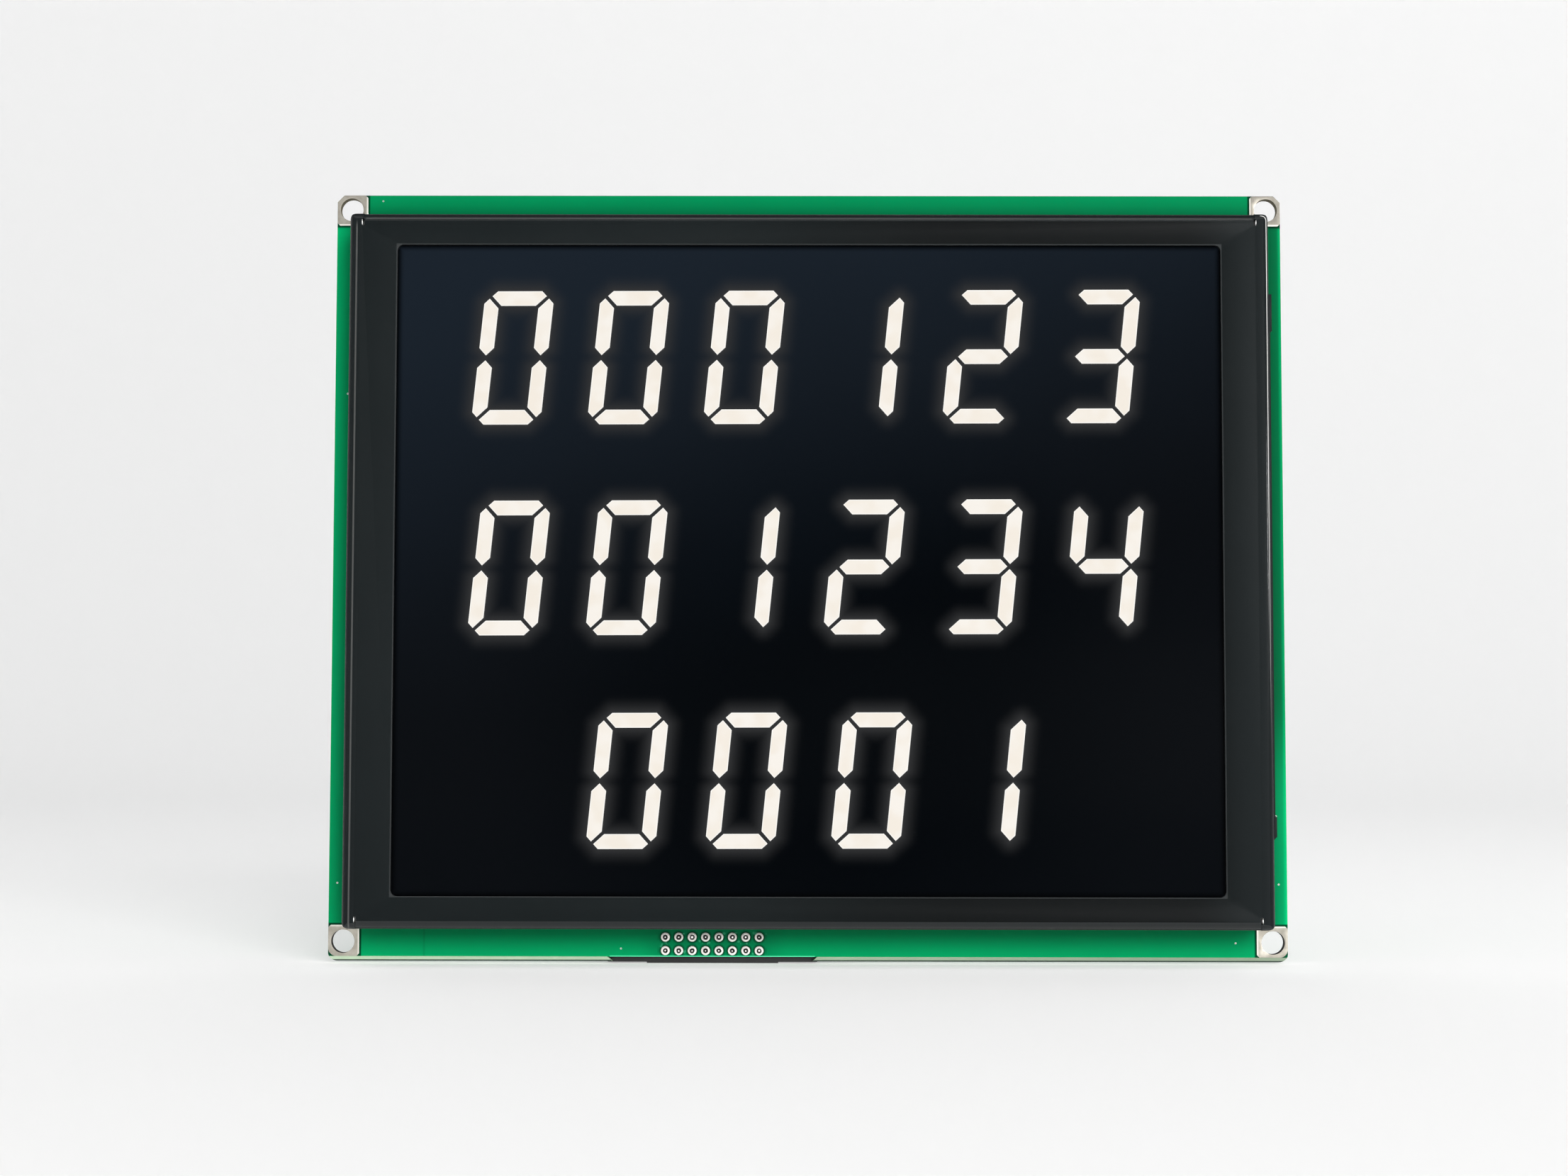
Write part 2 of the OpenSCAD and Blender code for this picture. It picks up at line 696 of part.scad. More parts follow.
// A tinned land on both faces of the board's corner, with the plated bore between them
module land(side_x, side_y) {
    color([0.78, 0.76, 0.71]) forward(0) mirror([side_x < 0 ? 1 : 0, 0, 0]) mirror([0, side_y < 0 ? 1 : 0, 0])
        difference() {
            union() {
                for (z = [0, board_front])
                    translate([0, 0, z]) linear_extrude(land_t) land_outline(side_y > 0);
                translate([hole_x, hole_y, 0]) cylinder(h = board_front + land_t, r = land_bore / 2);
            }
            translate([hole_x, hole_y, 0]) cylinder(h = 4 * board_front, r = hole_bore / 2, center = true);
        }
}

module land_top_left() { land(-1, 1); }
module land_top_right() { land(1, 1); }
module land_bottom_left() { land(-1, -1); }
module land_bottom_right() { land(1, -1); }

// Two long walls, two end walls with a slot for each latch, and an ear of two cheeks at each end
module header_housing() {
    color([0.09, 0.09, 0.1]) backward() translate(header_mid) difference() {
        union() {
            translate([-header_len / 2, -header_w / 2, 0]) cube([header_len, header_w, header_h]);
            rotate([90, 0, 0]) translate([0, 0, -ear_w / 2]) linear_extrude(ear_w) ear_section();
        }
        translate([-header_cavity / 2, header_wall - header_w / 2, header_floor])
            cube([header_cavity, header_w - 2 * header_wall, header_h]);
        for (side = [-1, 1]) scale([side, 1, 1]) {
            translate([header_cavity / 2 - toe_room(), -latch_slot / 2, ear_floor])
                cube([ears_len, latch_slot, header_h]);
            translate([pivot_x, 0, pivot_z]) rotate([90, 0, 0])
                cylinder(h = header_w + past, r = pivot_d / 2 + pivot_play, center = true, $fn = PIN_FACETS);
        }
        translate([-key_w / 2, 0, header_floor]) cube([key_w, header_w, header_h]);
        for (i = [0 : header_columns - 1], row = [-1, 1])
            translate([(i - (header_columns - 1) / 2) * pin_pitch, row * pin_pitch / 2, header_floor / 2])
                cube([pin_side, pin_side, header_floor + past], center = true);
    }
}

// How far the slot for the toe reaches into the cavity
function toe_room() = max(toe_play, toe_len + toe_play - (pivot_x - header_cavity / 2));

// Side outline of the two ears in one piece, with slanted outer corners
module ear_section() {
    slant = ear_h - pivot_z - pivot_d / 2 - ear_rim;
    polygon([
        [-ears_len / 2, 0], [ears_len / 2, 0], [ears_len / 2, ear_h - slant],
        [ears_len / 2 - slant, ear_h], [slant - ears_len / 2, ear_h], [-ears_len / 2, ear_h - slant]
    ]);
}

module header_pins() {
    length = board_t + pin_tip + header_floor + pin_h;
    color([0.85, 0.72, 0.38]) forward(board_front + pin_tip - length) linear_extrude(length)
        at_pins() square(pin_side, center = true);
}

// A collar of solder round each pin's tip: a domed ring with a crater that the tip stands in
module header_solder() {
    r = solder_d / 2;
    crater_r = pin_bore / 2;
    color([0.85, 0.86, 0.86]) forward(board_front) difference() {
        at_pins() rotate_extrude($fn = PIN_FACETS)
            polygon([
                [0, 0], [r, 0], [r, solder_rim], [(r + crater_r) / 2, solder_h], [crater_r, solder_lip],
                [crater_r, solder_floor], [0, solder_floor]
            ]);
        linear_extrude(2 * board_t, center = true) at_pins() square(pin_side, center = true);
    }
}

module lead_solder() {
    color([0.85, 0.86, 0.86]) forward(board_back) mirror([0, 0, 1]) difference() {
        at_leads() {
            foot_r = lead_d / 2 + lead_solder_w;
            crest_r = lead_d / 2 + lead_solder_top;
            cylinder(h = lead_solder_h, r1 = foot_r, r2 = crest_r, $fn = PIN_FACETS);
        }
        linear_extrude(4 * lead_tail, center = true) at_leads() circle(lead_d / 2, $fn = BORE_FACETS);
    }
}

// A latch's side outline about its pivot: round heel, toe inward, arm backward with a hook
module latch_section() {
    inner = heel_r - arm_t;
    tip = inner - hook_len;
    pad = heel_r + thumb_reach;
    under = arm_len - hook_h;
    circle(heel_r);
    translate([-toe_len, -heel_r]) square([toe_len, toe_t]);
    translate([inner, 0]) square([arm_t, under]);
    polygon([
        [inner, under - hook_slant], [tip, under], [tip, arm_len - hook_h / 2], [inner, arm_len],
        [pad, arm_len], [pad, arm_len - hook_h / 2], [heel_r, under - hook_slant]
    ]);
}

module latch(side) {
    color([0.09, 0.09, 0.1]) backward() translate(header_mid) scale([side, 1, 1])
        translate([pivot_x, 0, pivot_z]) rotate([0, latch_open, 0]) rotate([90, 0, 0]) {
            linear_extrude(latch_w, center = true) latch_section();
            cylinder(h = ear_w, r = pivot_d / 2, center = true, $fn = PIN_FACETS);
        }
}

module latch_left() { latch(-1); }
module latch_right() { latch(1); }

// One gull-wing lead of a body that tall, leaving its side towards +X
module gull_wing(w, body_h) {
    shin = lead_shoulder + lead_t;
    rotate([90, 0, 0]) linear_extrude(w, center = true)
        polygon([
            [0, body_h / 2], [shin, body_h / 2], [shin, lead_t], [shin + lead_foot, lead_t],
            [shin + lead_foot, 0], [lead_shoulder, 0], [lead_shoulder, body_h / 2 - lead_t],
            [0, body_h / 2 - lead_t]
        ]);
}

module driver(side) {
    body_h = driver_h - driver_standoff;
    color([0.12, 0.12, 0.13]) backward() translate([side * driver_gap / 2, driver_up, 0]) {
        translate([0, 0, driver_standoff + body_h / 2])
            cube([driver_side, driver_side, body_h], center = true);
        for (turn = [0 : 90 : 270], i = [0 : driver_leads - 1])
            rotate(turn) translate([driver_side / 2, (i - (driver_leads - 1) / 2) * driver_pitch, 0])
                gull_wing(driver_lead_w, driver_h);
    }
}

module driver_left() { driver(-1); }
module driver_right() { driver(1); }

// A row of small chips, each a body between two end caps that wrap it
module chips(count, x, y, h) {
    body_len = chip_len - 2 * chip_cap_t;
    backward() for (i = [0 : count - 1]) translate([x + (i - (count - 1) / 2) * chip_pitch, y, 0]) {
        translate([-chip_w / 2 + chip_cap_t, -body_len / 2, chip_cap_t])
            cube([chip_w - 2 * chip_cap_t, body_len, h - 2 * chip_cap_t]);
        for (end = [-1, 1])
            translate([-chip_w / 2, end * (chip_len - chip_cap_len) / 2 - chip_cap_len / 2, 0])
                cube([chip_w, chip_cap_len, h]);
    }
}

module resistors() {
    color([0.15, 0.15, 0.16]) {
        chips(5, -resistors_left, header_y + rear_row_up, resistor_h);
        chips(3, driver_gap / 2, driver_up - driver_row_down, resistor_h);
    }
}

module capacitors() {
    color([0.62, 0.5, 0.38]) {
        chips(3, -driver_gap / 2, driver_up - driver_row_down, capacitor_h);
        chips(2, 0, driver_up, capacitor_h);
    }
}

// A three-legged transistor: two leads below its body and one above
module backlight_transistor() {
    body_h = transistor_h - driver_standoff;
    color([0.12, 0.12, 0.13]) backward() translate([transistor_right, header_y + rear_row_up, 0]) {
        translate([0, 0, driver_standoff + body_h / 2])
            cube([transistor_len, transistor_w, body_h], center = true);
        for (x = [-1, 1]) translate([x * transistor_pitch / 2, -transistor_w / 2, 0])
            rotate(-90) gull_wing(transistor_lead_w, transistor_h);
        translate([0, transistor_w / 2, 0]) rotate(90) gull_wing(transistor_lead_w, transistor_h);
    }
}

bezel();
front_polariser();
front_glass();
rear_glass();
rear_polariser();
digits_top();
digits_middle();
digits_bottom();
contact_strip_top();
contact_strip_bottom();
diffuser();
light_guide();
reflector();
backlight_housing();
led_board_left();
led_board_right();
leds_left();
leds_right();
backlight_leads();
board();
land_top_left();
land_top_right();
land_bottom_left();
land_bottom_right();
header_housing();
header_pins();
header_solder();
lead_solder();
latch_left();
latch_right();
driver_left();
driver_right();
resistors();
capacitors();
backlight_transistor();
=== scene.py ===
import math
import random

import bmesh
import bpy
import numpy as np
from mathutils import Matrix, Vector


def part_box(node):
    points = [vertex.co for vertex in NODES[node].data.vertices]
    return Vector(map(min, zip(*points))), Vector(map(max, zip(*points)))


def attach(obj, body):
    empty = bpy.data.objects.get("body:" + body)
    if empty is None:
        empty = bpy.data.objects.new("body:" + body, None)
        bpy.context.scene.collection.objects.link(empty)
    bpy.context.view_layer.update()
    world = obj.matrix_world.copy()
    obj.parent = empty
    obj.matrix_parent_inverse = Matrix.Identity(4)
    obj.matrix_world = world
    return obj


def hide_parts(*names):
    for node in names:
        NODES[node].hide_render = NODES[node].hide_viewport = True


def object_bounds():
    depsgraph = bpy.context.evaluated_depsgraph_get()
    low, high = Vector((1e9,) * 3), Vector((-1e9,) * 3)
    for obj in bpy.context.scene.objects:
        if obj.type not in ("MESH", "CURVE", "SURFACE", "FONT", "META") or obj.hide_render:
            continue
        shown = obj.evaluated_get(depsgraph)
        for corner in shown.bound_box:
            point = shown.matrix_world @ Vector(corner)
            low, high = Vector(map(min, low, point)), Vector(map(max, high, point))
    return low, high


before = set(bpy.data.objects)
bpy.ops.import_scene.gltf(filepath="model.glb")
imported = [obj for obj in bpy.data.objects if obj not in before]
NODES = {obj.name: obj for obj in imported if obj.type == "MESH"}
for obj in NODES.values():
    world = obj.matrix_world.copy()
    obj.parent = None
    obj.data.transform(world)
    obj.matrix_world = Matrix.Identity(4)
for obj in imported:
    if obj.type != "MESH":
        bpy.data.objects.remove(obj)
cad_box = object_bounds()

MM = 0.001


def middle_of(node):
    lo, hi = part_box(node)
    return (lo + hi) / 2


# Sizes that the finishes follow, half across where they lie about the middle
BOARD_FRONT, BOARD_REAR = (corner.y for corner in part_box("board"))
BOARD_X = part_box("board")[1].x
BOARD_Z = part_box("board")[1].z
BEZEL_X = -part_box("bezel")[0].x
BEZEL_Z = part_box("bezel")[1].z
CORNER_R = 1.5 * MM
WINDOW_X = 77.4 * MM
WINDOW_Z = 61.0 * MM
LAND_SIZE = BOARD_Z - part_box("land_top_left")[0].z
HOLE_INSET = 2.8 * MM
HOLE_X = BOARD_X - HOLE_INSET
HOLE_Z = BOARD_Z - HOLE_INSET
HOLE_R = 2.2 * MM
SLIT_X = BEZEL_X - 2.6 * MM
SLIT_Z = BEZEL_Z - 1.8 * MM
SLIT_HALF_X = 0.4 * MM
SLIT_HALF_Z = 0.8 * MM
SLOPE_SHADOW_Z = -73.66 * MM
HEADER_X = middle_of("header_pins").x
HEADER_Z = middle_of("header_pins").z
HEADER_HALF = 19.45 * MM
PIN_PITCH = 2.54 * MM
PINS_IN_ROW = 8
ROWS = ("top", "middle", "bottom")


# ---------------------------------------------------------------- camera
LENS_PIXELS = 3500.0
IMAGE_W = 2212.0
SENSOR_W = 36.0
# Where the camera stands, and which way the right, the foot and the middle of its frame lie
EYE = (-2.938 * MM, -475.570 * MM, -32.856 * MM)
RIGHT = (0.9999928, 0.0034041, 0.0016831)
DOWN = (0.0014652, 0.0630221, -0.9980111)
AHEAD = (-0.0035034, 0.9980063, 0.0630167)


def place_camera():
    """A camera with the lens given in pixels, turned by its three axes."""
    lens = bpy.data.cameras.new("studio_camera")
    lens.sensor_fit = "HORIZONTAL"
    lens.sensor_width = SENSOR_W
    lens.lens = LENS_PIXELS / IMAGE_W * SENSOR_W
    lens.clip_start = 0.01
    lens.clip_end = 20.0
    camera = bpy.data.objects.new("studio_camera", lens)
    turn = Matrix([[RIGHT[i], -DOWN[i], -AHEAD[i]] for i in range(3)]).to_4x4()
    camera.matrix_world = Matrix.Translation(EYE) @ turn
    bpy.context.scene.collection.objects.link(camera)
    bpy.context.scene.camera = camera


# ---------------------------------------------------------------- finishes
class Finish:
    """One material, with short calls for the nodes that the finishes here are made of."""

    def __init__(self, name, roughness=0.5, metallic=0.0, specular=0.5):
        self.material = bpy.data.materials.new(name)
        self.material.use_nodes = True
        self.tree = self.material.node_tree
        self.surface = self.tree.nodes["Principled BSDF"]
        self.set("Roughness", roughness)
        self.set("Metallic", metallic)
        self.set("Specular IOR Level", specular)

    def set(self, socket, value):
        """Gives a socket of the surface a number, a colour or another node's output."""
        self.join(self.surface.inputs[socket], value)

    def glow(self, colour, strength=1.0):
        """Gives the surface light of its own."""
        self.set("Emission Color", colour)
        self.set("Emission Strength", strength)

    def patchy(self, grain, low, high):
        """Lets the roughness wander between two values, as a noise does."""
        self.set("Roughness", self.spread(grain, 0.3, 0.7, low, high))

    def join(self, socket, value):
        if isinstance(value, bpy.types.NodeSocket):
            self.tree.links.new(value, socket)
        elif isinstance(value, tuple) and len(value) == 3 and socket.type == "RGBA":
            socket.default_value = (*value, 1.0)
        else:
            socket.default_value = value

    def node(self, kind, inputs=None, **settings):
        made = self.tree.nodes.new(kind)
        for key, value in settings.items():
            setattr(made, key, value)
        for key, value in (inputs or {}).items():
            self.join(made.inputs[key], value)
        return made

    def place(self, moved=(0.0, 0.0, 0.0)):
        """The object's own coordinates, moved by a distance."""
        coords = self.node("ShaderNodeTexCoord").outputs["Object"]
        return self.node("ShaderNodeMapping", {"Vector": coords, "Location": moved}).outputs["Vector"]

    def noise(self, scale, detail=2.0):
        inputs = {"Vector": self.place(), "Scale": scale, "Detail": detail}
        return self.node("ShaderNodeTexNoise", inputs).outputs["Fac"]

    def wave(self, scale, direction):
        """Even bands, one after another along an axis of the object."""
        inputs = {"Vector": self.place(), "Scale": scale}
        return self.node("ShaderNodeTexWave", inputs, bands_direction=direction).outputs["Fac"]

    def math(self, operation, a, b=0.0, c=0.0):
        made = self.node("ShaderNodeMath", operation=operation)
        for socket, value in zip(made.inputs, (a, b, c)):
            self.join(socket, value)
        return made.outputs[0]

    def less(self, a, b):
        return self.math("SUBTRACT", a, b)

    def larger(self, a, b):
        return self.math("MAXIMUM", a, b)

    def spread(self, value, low, high, to_low=0.0, to_high=1.0):
        """Takes a value from one range to another, smoothly and without overshoot."""
        inputs = {"Value": value, "From Min": low, "From Max": high, "To Min": to_low, "To Max": to_high}
        return self.node("ShaderNodeMapRange", inputs, interpolation_type="SMOOTHSTEP").outputs["Result"]

    def blend(self, share, first, second):
        """The first colour where the share is none, and the second where it is one."""
        made = self.node("ShaderNodeMix", data_type="RGBA")
        self.join(made.inputs[0], share)
        self.join(made.inputs[6], first)
        self.join(made.inputs[7], second)
        return made.outputs[2]

    def relief(self, height, depth, strength=1.0):
        inputs = {"Height": height, "Distance": depth, "Strength": strength}
        self.set("Normal", self.node("ShaderNodeBump", inputs).outputs["Normal"])

    def axis(self, which):
        """One of the object's own coordinates."""
        return self.node("ShaderNodeSeparateXYZ", {"Vector": self.place()}).outputs[which]

    def facing_rear(self):
        """How far the surface faces the rear: one there, none at the sides and minus one in front."""
        normal = self.node("ShaderNodeTexCoord").outputs["Normal"]
        return self.node("ShaderNodeSeparateXYZ", {"Vector": normal}).outputs["Y"]

    def on_front(self):
        """One where the surface faces forward, and none elsewhere."""
        return self.spread(self.facing_rear(), -0.5, -0.3, 1.0, 0.0)

    def apart(self, which, plane=0.0):
        """The distance from a plane across an axis."""
        return self.math("ABSOLUTE", self.less(self.axis(which), plane))

    def outside(self, half_x, half_z):
        """The distance outside a rectangle about the middle, and less than none within it."""
        return self.larger(self.less(self.apart("X"), half_x), self.less(self.apart("Z"), half_z))

    def from_corner(self):
        """The longer of the two distances to the sides that meet at the board's nearest corner."""
        return self.larger(self.less(BOARD_X, self.apart("X")), self.less(BOARD_Z, self.apart("Z")))

    def from_pin(self, which, header):
        """The distance along an axis to the nearest pin of an endless row about the header."""
        count = self.math("DIVIDE", self.less(self.axis(which), header), PIN_PITCH)
        part = self.less(self.math("FRACT", count), 0.5)
        return self.math("ABSOLUTE", self.math("MULTIPLY", part, PIN_PITCH))

    def radius(self, a, b):
        """The straight distance across two distances at right angles."""
        return self.math("SQRT", self.math("MULTIPLY_ADD", a, a, self.math("MULTIPLY", b, b)))

    def band(self, value, low, high):
        """One between two values, with soft sides, and none outside them."""
        soft = 0.05 * MM
        rise = self.spread(value, low - soft, low + soft)
        return self.both(rise, self.spread(value, high - soft, high + soft, 1.0, 0.0))

    def both(self, first, *others):
        """The product of shares: one only where all of them are one."""
        for other in others:
            first = self.math("MULTIPLY", first, other)
        return first

    def where(self, share, gain):
        """A gain that holds where the share is one, and is one elsewhere."""
        return self.math("MULTIPLY_ADD", share, self.less(gain, 1.0), 1.0)

    def scaled(self, colour, amount):
        made = self.node("ShaderNodeVectorMath", {0: colour, "Scale": amount}, operation="SCALE")
        return made.outputs["Vector"]


# Painted highlight lines on the bends: how far out of the corners' centres at the right, and their places
# elsewhere
RIGHT_HIGHLIGHT = (0.97 * MM, 1.07 * MM)
LEFT_HIGHLIGHT = (-85.22 * MM, -84.92 * MM)
TOP_HIGHLIGHT = (65.86 * MM, 66.14 * MM)


def painted_fold_highlight(f, coat):
    """Painted highlight lines along the bends of the coating, most of all at the right."""
    side = f.larger(f.less(f.apart("X"), BEZEL_X - CORNER_R), 0.0)
    top = f.larger(f.less(f.apart("Z"), BEZEL_Z - CORNER_R), 0.0)
    right = f.both(
        f.band(f.radius(side, top), *RIGHT_HIGHLIGHT),
        f.spread(f.axis("X"), BEZEL_X - 1.7 * MM, BEZEL_X - 1.4 * MM),
        f.spread(f.axis("Z"), -36.0 * MM, 30.0 * MM),
    )
    below_corner = f.spread(f.axis("Z"), 64.0 * MM, 66.0 * MM, 0.07, 0.0)
    left = f.both(f.band(f.axis("X"), *LEFT_HIGHLIGHT), below_corner)
    between_slits = f.spread(f.apart("X"), 83.2 * MM, 83.6 * MM, 0.035, 0.0)
    above = f.both(f.band(f.axis("Z"), *TOP_HIGHLIGHT), between_slits)
    share = f.larger(right, f.larger(left, above))
    return f.blend(f.both(share, f.on_front()), coat, (0.80, 0.80, 0.77))


def coated_steel():
    """The flats of the bezel, with painted light and shade: lighter on the bar at the right, darker from
    about the middle up to that bar, and a painted highlight along the window's edge.
    """
    f = Finish("bezel_coating", specular=0.10)
    grain = f.noise(2600.0, 3.0)
    right_bar = (70.0 * MM, 84.0 * MM)
    # Painted light: the bar at the right grows lighter
    right = f.spread(f.axis("X"), *right_bar, 0.0, 0.5)
    drift = f.math("MULTIPLY_ADD", f.noise(45.0, 2.0), 0.5, right)
    coat = f.blend(drift, (0.0035, 0.0058, 0.0064), (0.0085, 0.0112, 0.0120))
    # Painted shade: darker from about the middle up to the bar at the right
    before_right = f.spread(f.axis("X"), *right_bar, 1.0, 0.0)
    dim = f.both(f.spread(f.axis("X"), -20.0 * MM, 30.0 * MM), before_right, 0.85)
    coat = f.blend(dim, coat, (0.0006, 0.0012, 0.0014))
    # Painted highlight along the window's edge, then the painted highlight lines along the bends
    window_edge_highlight = f.spread(f.outside(WINDOW_X, WINDOW_Z), 0.12 * MM, 0.22 * MM, 1.0, 0.0)
    f.set("Base Color", painted_fold_highlight(f, f.blend(window_edge_highlight, coat, (0.0260, 0.0290, 0.0300))))
    f.patchy(grain, 0.40, 0.50)
    f.relief(grain, 0.010 * MM, 0.35)
    return f.material


def bent_steel(name, roughness, specular):
    """The same coating where the sheet is bent, drawn smoother and so with more shine, and with the painted
    highlight lines.
    """
    f = Finish(name, roughness=roughness, specular=specular)
    coat = f.blend(f.noise(45.0, 2.0), (0.0040, 0.0062, 0.0068), (0.0070, 0.0095, 0.0102))
    f.set("Base Color", painted_fold_highlight(f, coat))
    f.relief(f.noise(2600.0, 3.0), 0.004 * MM, 0.2)
    return f.material


def cut_edge():
    """Bare sheet where a slit was punched, with a painted glint, given as light of its own, halfway along
    it.
    """
    f = Finish("cut_edge", roughness=0.3)
    f.set("Base Color", f.blend(f.noise(900.0), (0.84, 0.84, 0.82), (0.95, 0.95, 0.93)))
    along = f.math("ABSOLUTE", f.less(f.apart("Z"), SLIT_Z))
    glint = f.spread(along, 0.20 * MM, 0.28 * MM, 1.0, 0.0)
    # Painted glint: light of its own halfway along the slit
    f.glow(f.blend(glint, (0.0, 0.0, 0.0), (0.90, 0.89, 0.87)))
    return f.material


# How the painted blue light on the film grows along it, per metre
BLUE_ACROSS = -2.9
BLUE_UP = 9.8


def dark_film():
    """The front polariser: near black, with the backlight leaking through it a little, and painted light and
    shade in that glow: bluer toward the upper left, darker round a spot below the middle, and a painted
    shadow along the window's edge.
    """
    f = Finish("polariser_film", roughness=0.08, specular=0.008)
    # Painted light: the glow grows bluer toward the upper left
    slope = f.math("MULTIPLY_ADD", f.axis("X"), BLUE_ACROSS, f.math("MULTIPLY", f.axis("Z"), BLUE_UP))
    clouds = f.math("MULTIPLY_ADD", f.noise(14.0, 2.0), 0.30, -0.15)
    blue = f.spread(f.math("ADD", slope, clouds), -0.15, 0.80)
    # Painted shade: the glow is darker round a spot below the middle
    from_dark_spot = f.place(moved=(-5.0 * MM, 0.0, 25.0 * MM))
    far = f.node("ShaderNodeVectorMath", {0: from_dark_spot}, operation="LENGTH").outputs["Value"]
    out_of_painted_patch = f.spread(far, 25.0 * MM, 75.0 * MM)
    leak_and_painted_light = f.blend(out_of_painted_patch, (0.0003, 0.0008, 0.0014), (0.0024, 0.0030, 0.0040))
    leak_and_painted_light = f.blend(blue, leak_and_painted_light, (0.0104, 0.0162, 0.0246))
    halo = f.node("ShaderNodeAttribute", attribute_name="halo").outputs["Fac"]
    f.set("Base Color", (0.0005, 0.0007, 0.0010))
    glow = f.blend(halo, leak_and_painted_light, (0.032, 0.0325, 0.0335))
    # Painted shadow along the window's edge
    shade = f.spread(f.outside(WINDOW_X, WINDOW_Z), -1.3 * MM, 0.1 * MM, 1.0, 0.0)
    f.glow(f.scaled(glow, shade))
    f.relief(f.noise(260.0, 1.0), 0.002 * MM, 0.2)
    return f.material


def lit_segment():
    """Warm white light through the print, a little mottled."""
    f = Finish("lit_segment", roughness=0.2, specular=0.2)
    mottle = f.spread(f.noise(240.0, 1.0), 0.35, 0.65)
    f.set("Base Color", (0.02, 0.02, 0.02))
    f.glow(f.blend(mottle, (0.865, 0.800, 0.710), (0.895, 0.850, 0.785)))
    return f.material


def lit_rim():
    """The same light, brighter near the edge of a segment."""
    f = Finish("lit_segment_rim", roughness=0.2, specular=0.2)
    mottle = f.noise(240.0, 1.0)
    f.set("Base Color", (0.02, 0.02, 0.02))
    f.glow(f.blend(mottle, (0.920, 0.895, 0.840), (0.950, 0.930, 0.895)))
    return f.material


def clear_glass(name, tint):
    """Clear sheet with a faint tint: the panes of the glass, and the light guide."""
    f = Finish(name, roughness=0.02)
    f.set("Base Color", f.blend(f.noise(30.0), tint, tuple(0.94 * c for c in tint)))
    f.set("Transmission Weight", 1.0)
    f.set("IOR", 1.5)
    return f.material


def striped_rubber():
    """Contact strip: pink rubber with fine black stripes that carry current."""
    f = Finish("contact_rubber", roughness=0.75, specular=0.3)
    stripes = f.wave(3140.0, "X")
    f.set("Base Color", f.blend(f.spread(stripes, 0.45, 0.55), (0.70, 0.38, 0.36), (0.05, 0.04, 0.04)))
    f.relief(stripes, 0.02 * MM, 0.3)
    return f.material


def white_film(name, roughness):
    """White plastic film behind the light guide, or in front of it."""
    f = Finish(name, roughness=roughness)
    f.set("Base Color", f.blend(f.noise(300.0, 3.0), (0.82, 0.83, 0.84), (0.90, 0.91, 0.92)))
    f.relief(f.noise(5000.0, 2.0), 0.01 * MM, 0.3)
    return f.material


def white_plastic():
    """The moulded housing that holds the backlight."""
    f = Finish("moulded_white", roughness=0.45)
    f.set("Base Color", f.blend(f.noise(120.0, 3.0), (0.80, 0.80, 0.77), (0.88, 0.88, 0.86)))
    f.relief(f.noise(3200.0, 2.0), 0.015 * MM, 0.3)
    return f.material


def lamp_lens():
    """The yellow face of a small white lamp, faintly lit."""
    f = Finish("lamp_lens", roughness=0.25)
    f.set("Base Color", f.blend(f.noise(900.0), (0.90, 0.78, 0.32), (0.96, 0.88, 0.50)))
    f.glow((1.0, 0.93, 0.72), 0.6)
    return f.material


def solder_mask():
    """Green mask on both faces of the board, and bare glass-fibre laminate on its edges."""
    f = Finish("solder_mask", specular=0.03)
    grain = f.noise(900.0, 3.0)
    front = f.on_front()
    mask = f.blend(f.noise(38.0, 2.0), (0.0003, 0.275, 0.092), (0.0005, 0.310, 0.104))
    mask = shaded_strips(f, mask, front)
    mask = dark_outlines(f, mask, front)
    layers = f.wave(2400.0, "Y")
    bare = f.blend(f.noise(420.0, 3.0), (0.42, 0.54, 0.39), (0.52, 0.64, 0.49))
    bare = f.blend(f.math("MULTIPLY", layers, 0.3), bare, (0.27, 0.36, 0.23))
    # Painted light and shade: the bare edges lighter at the left and darker at the right
    bare = f.scaled(bare, f.spread(f.axis("X"), -BOARD_X, BOARD_X, 1.10, 0.66))
    # Painted shadow: a dark line along the foot of the sloped edge on the front
    painted_slope_shadow = f.both(front, f.spread(f.axis("Z"), SLOPE_SHADOW_Z - 0.06 * MM, SLOPE_SHADOW_Z + 0.06 * MM, 1.0, 0.0))
    bare = f.blend(painted_slope_shadow, bare, (0.050, 0.068, 0.058))
    on_face = f.spread(f.math("ABSOLUTE", f.facing_rear()), 0.80, 0.95)
    f.set("Base Color", f.blend(on_face, bare, mask))
    f.set("Roughness", f.spread(on_face, 0.0, 1.0, 0.75, 0.22))
    cloth = f.both(f.wave(390.0, "X"), f.wave(390.0, "Z"))
    weave = f.math("MULTIPLY_ADD", grain, 0.6, cloth)
    f.relief(weave, 0.006 * MM, 0.35)
    return f.material


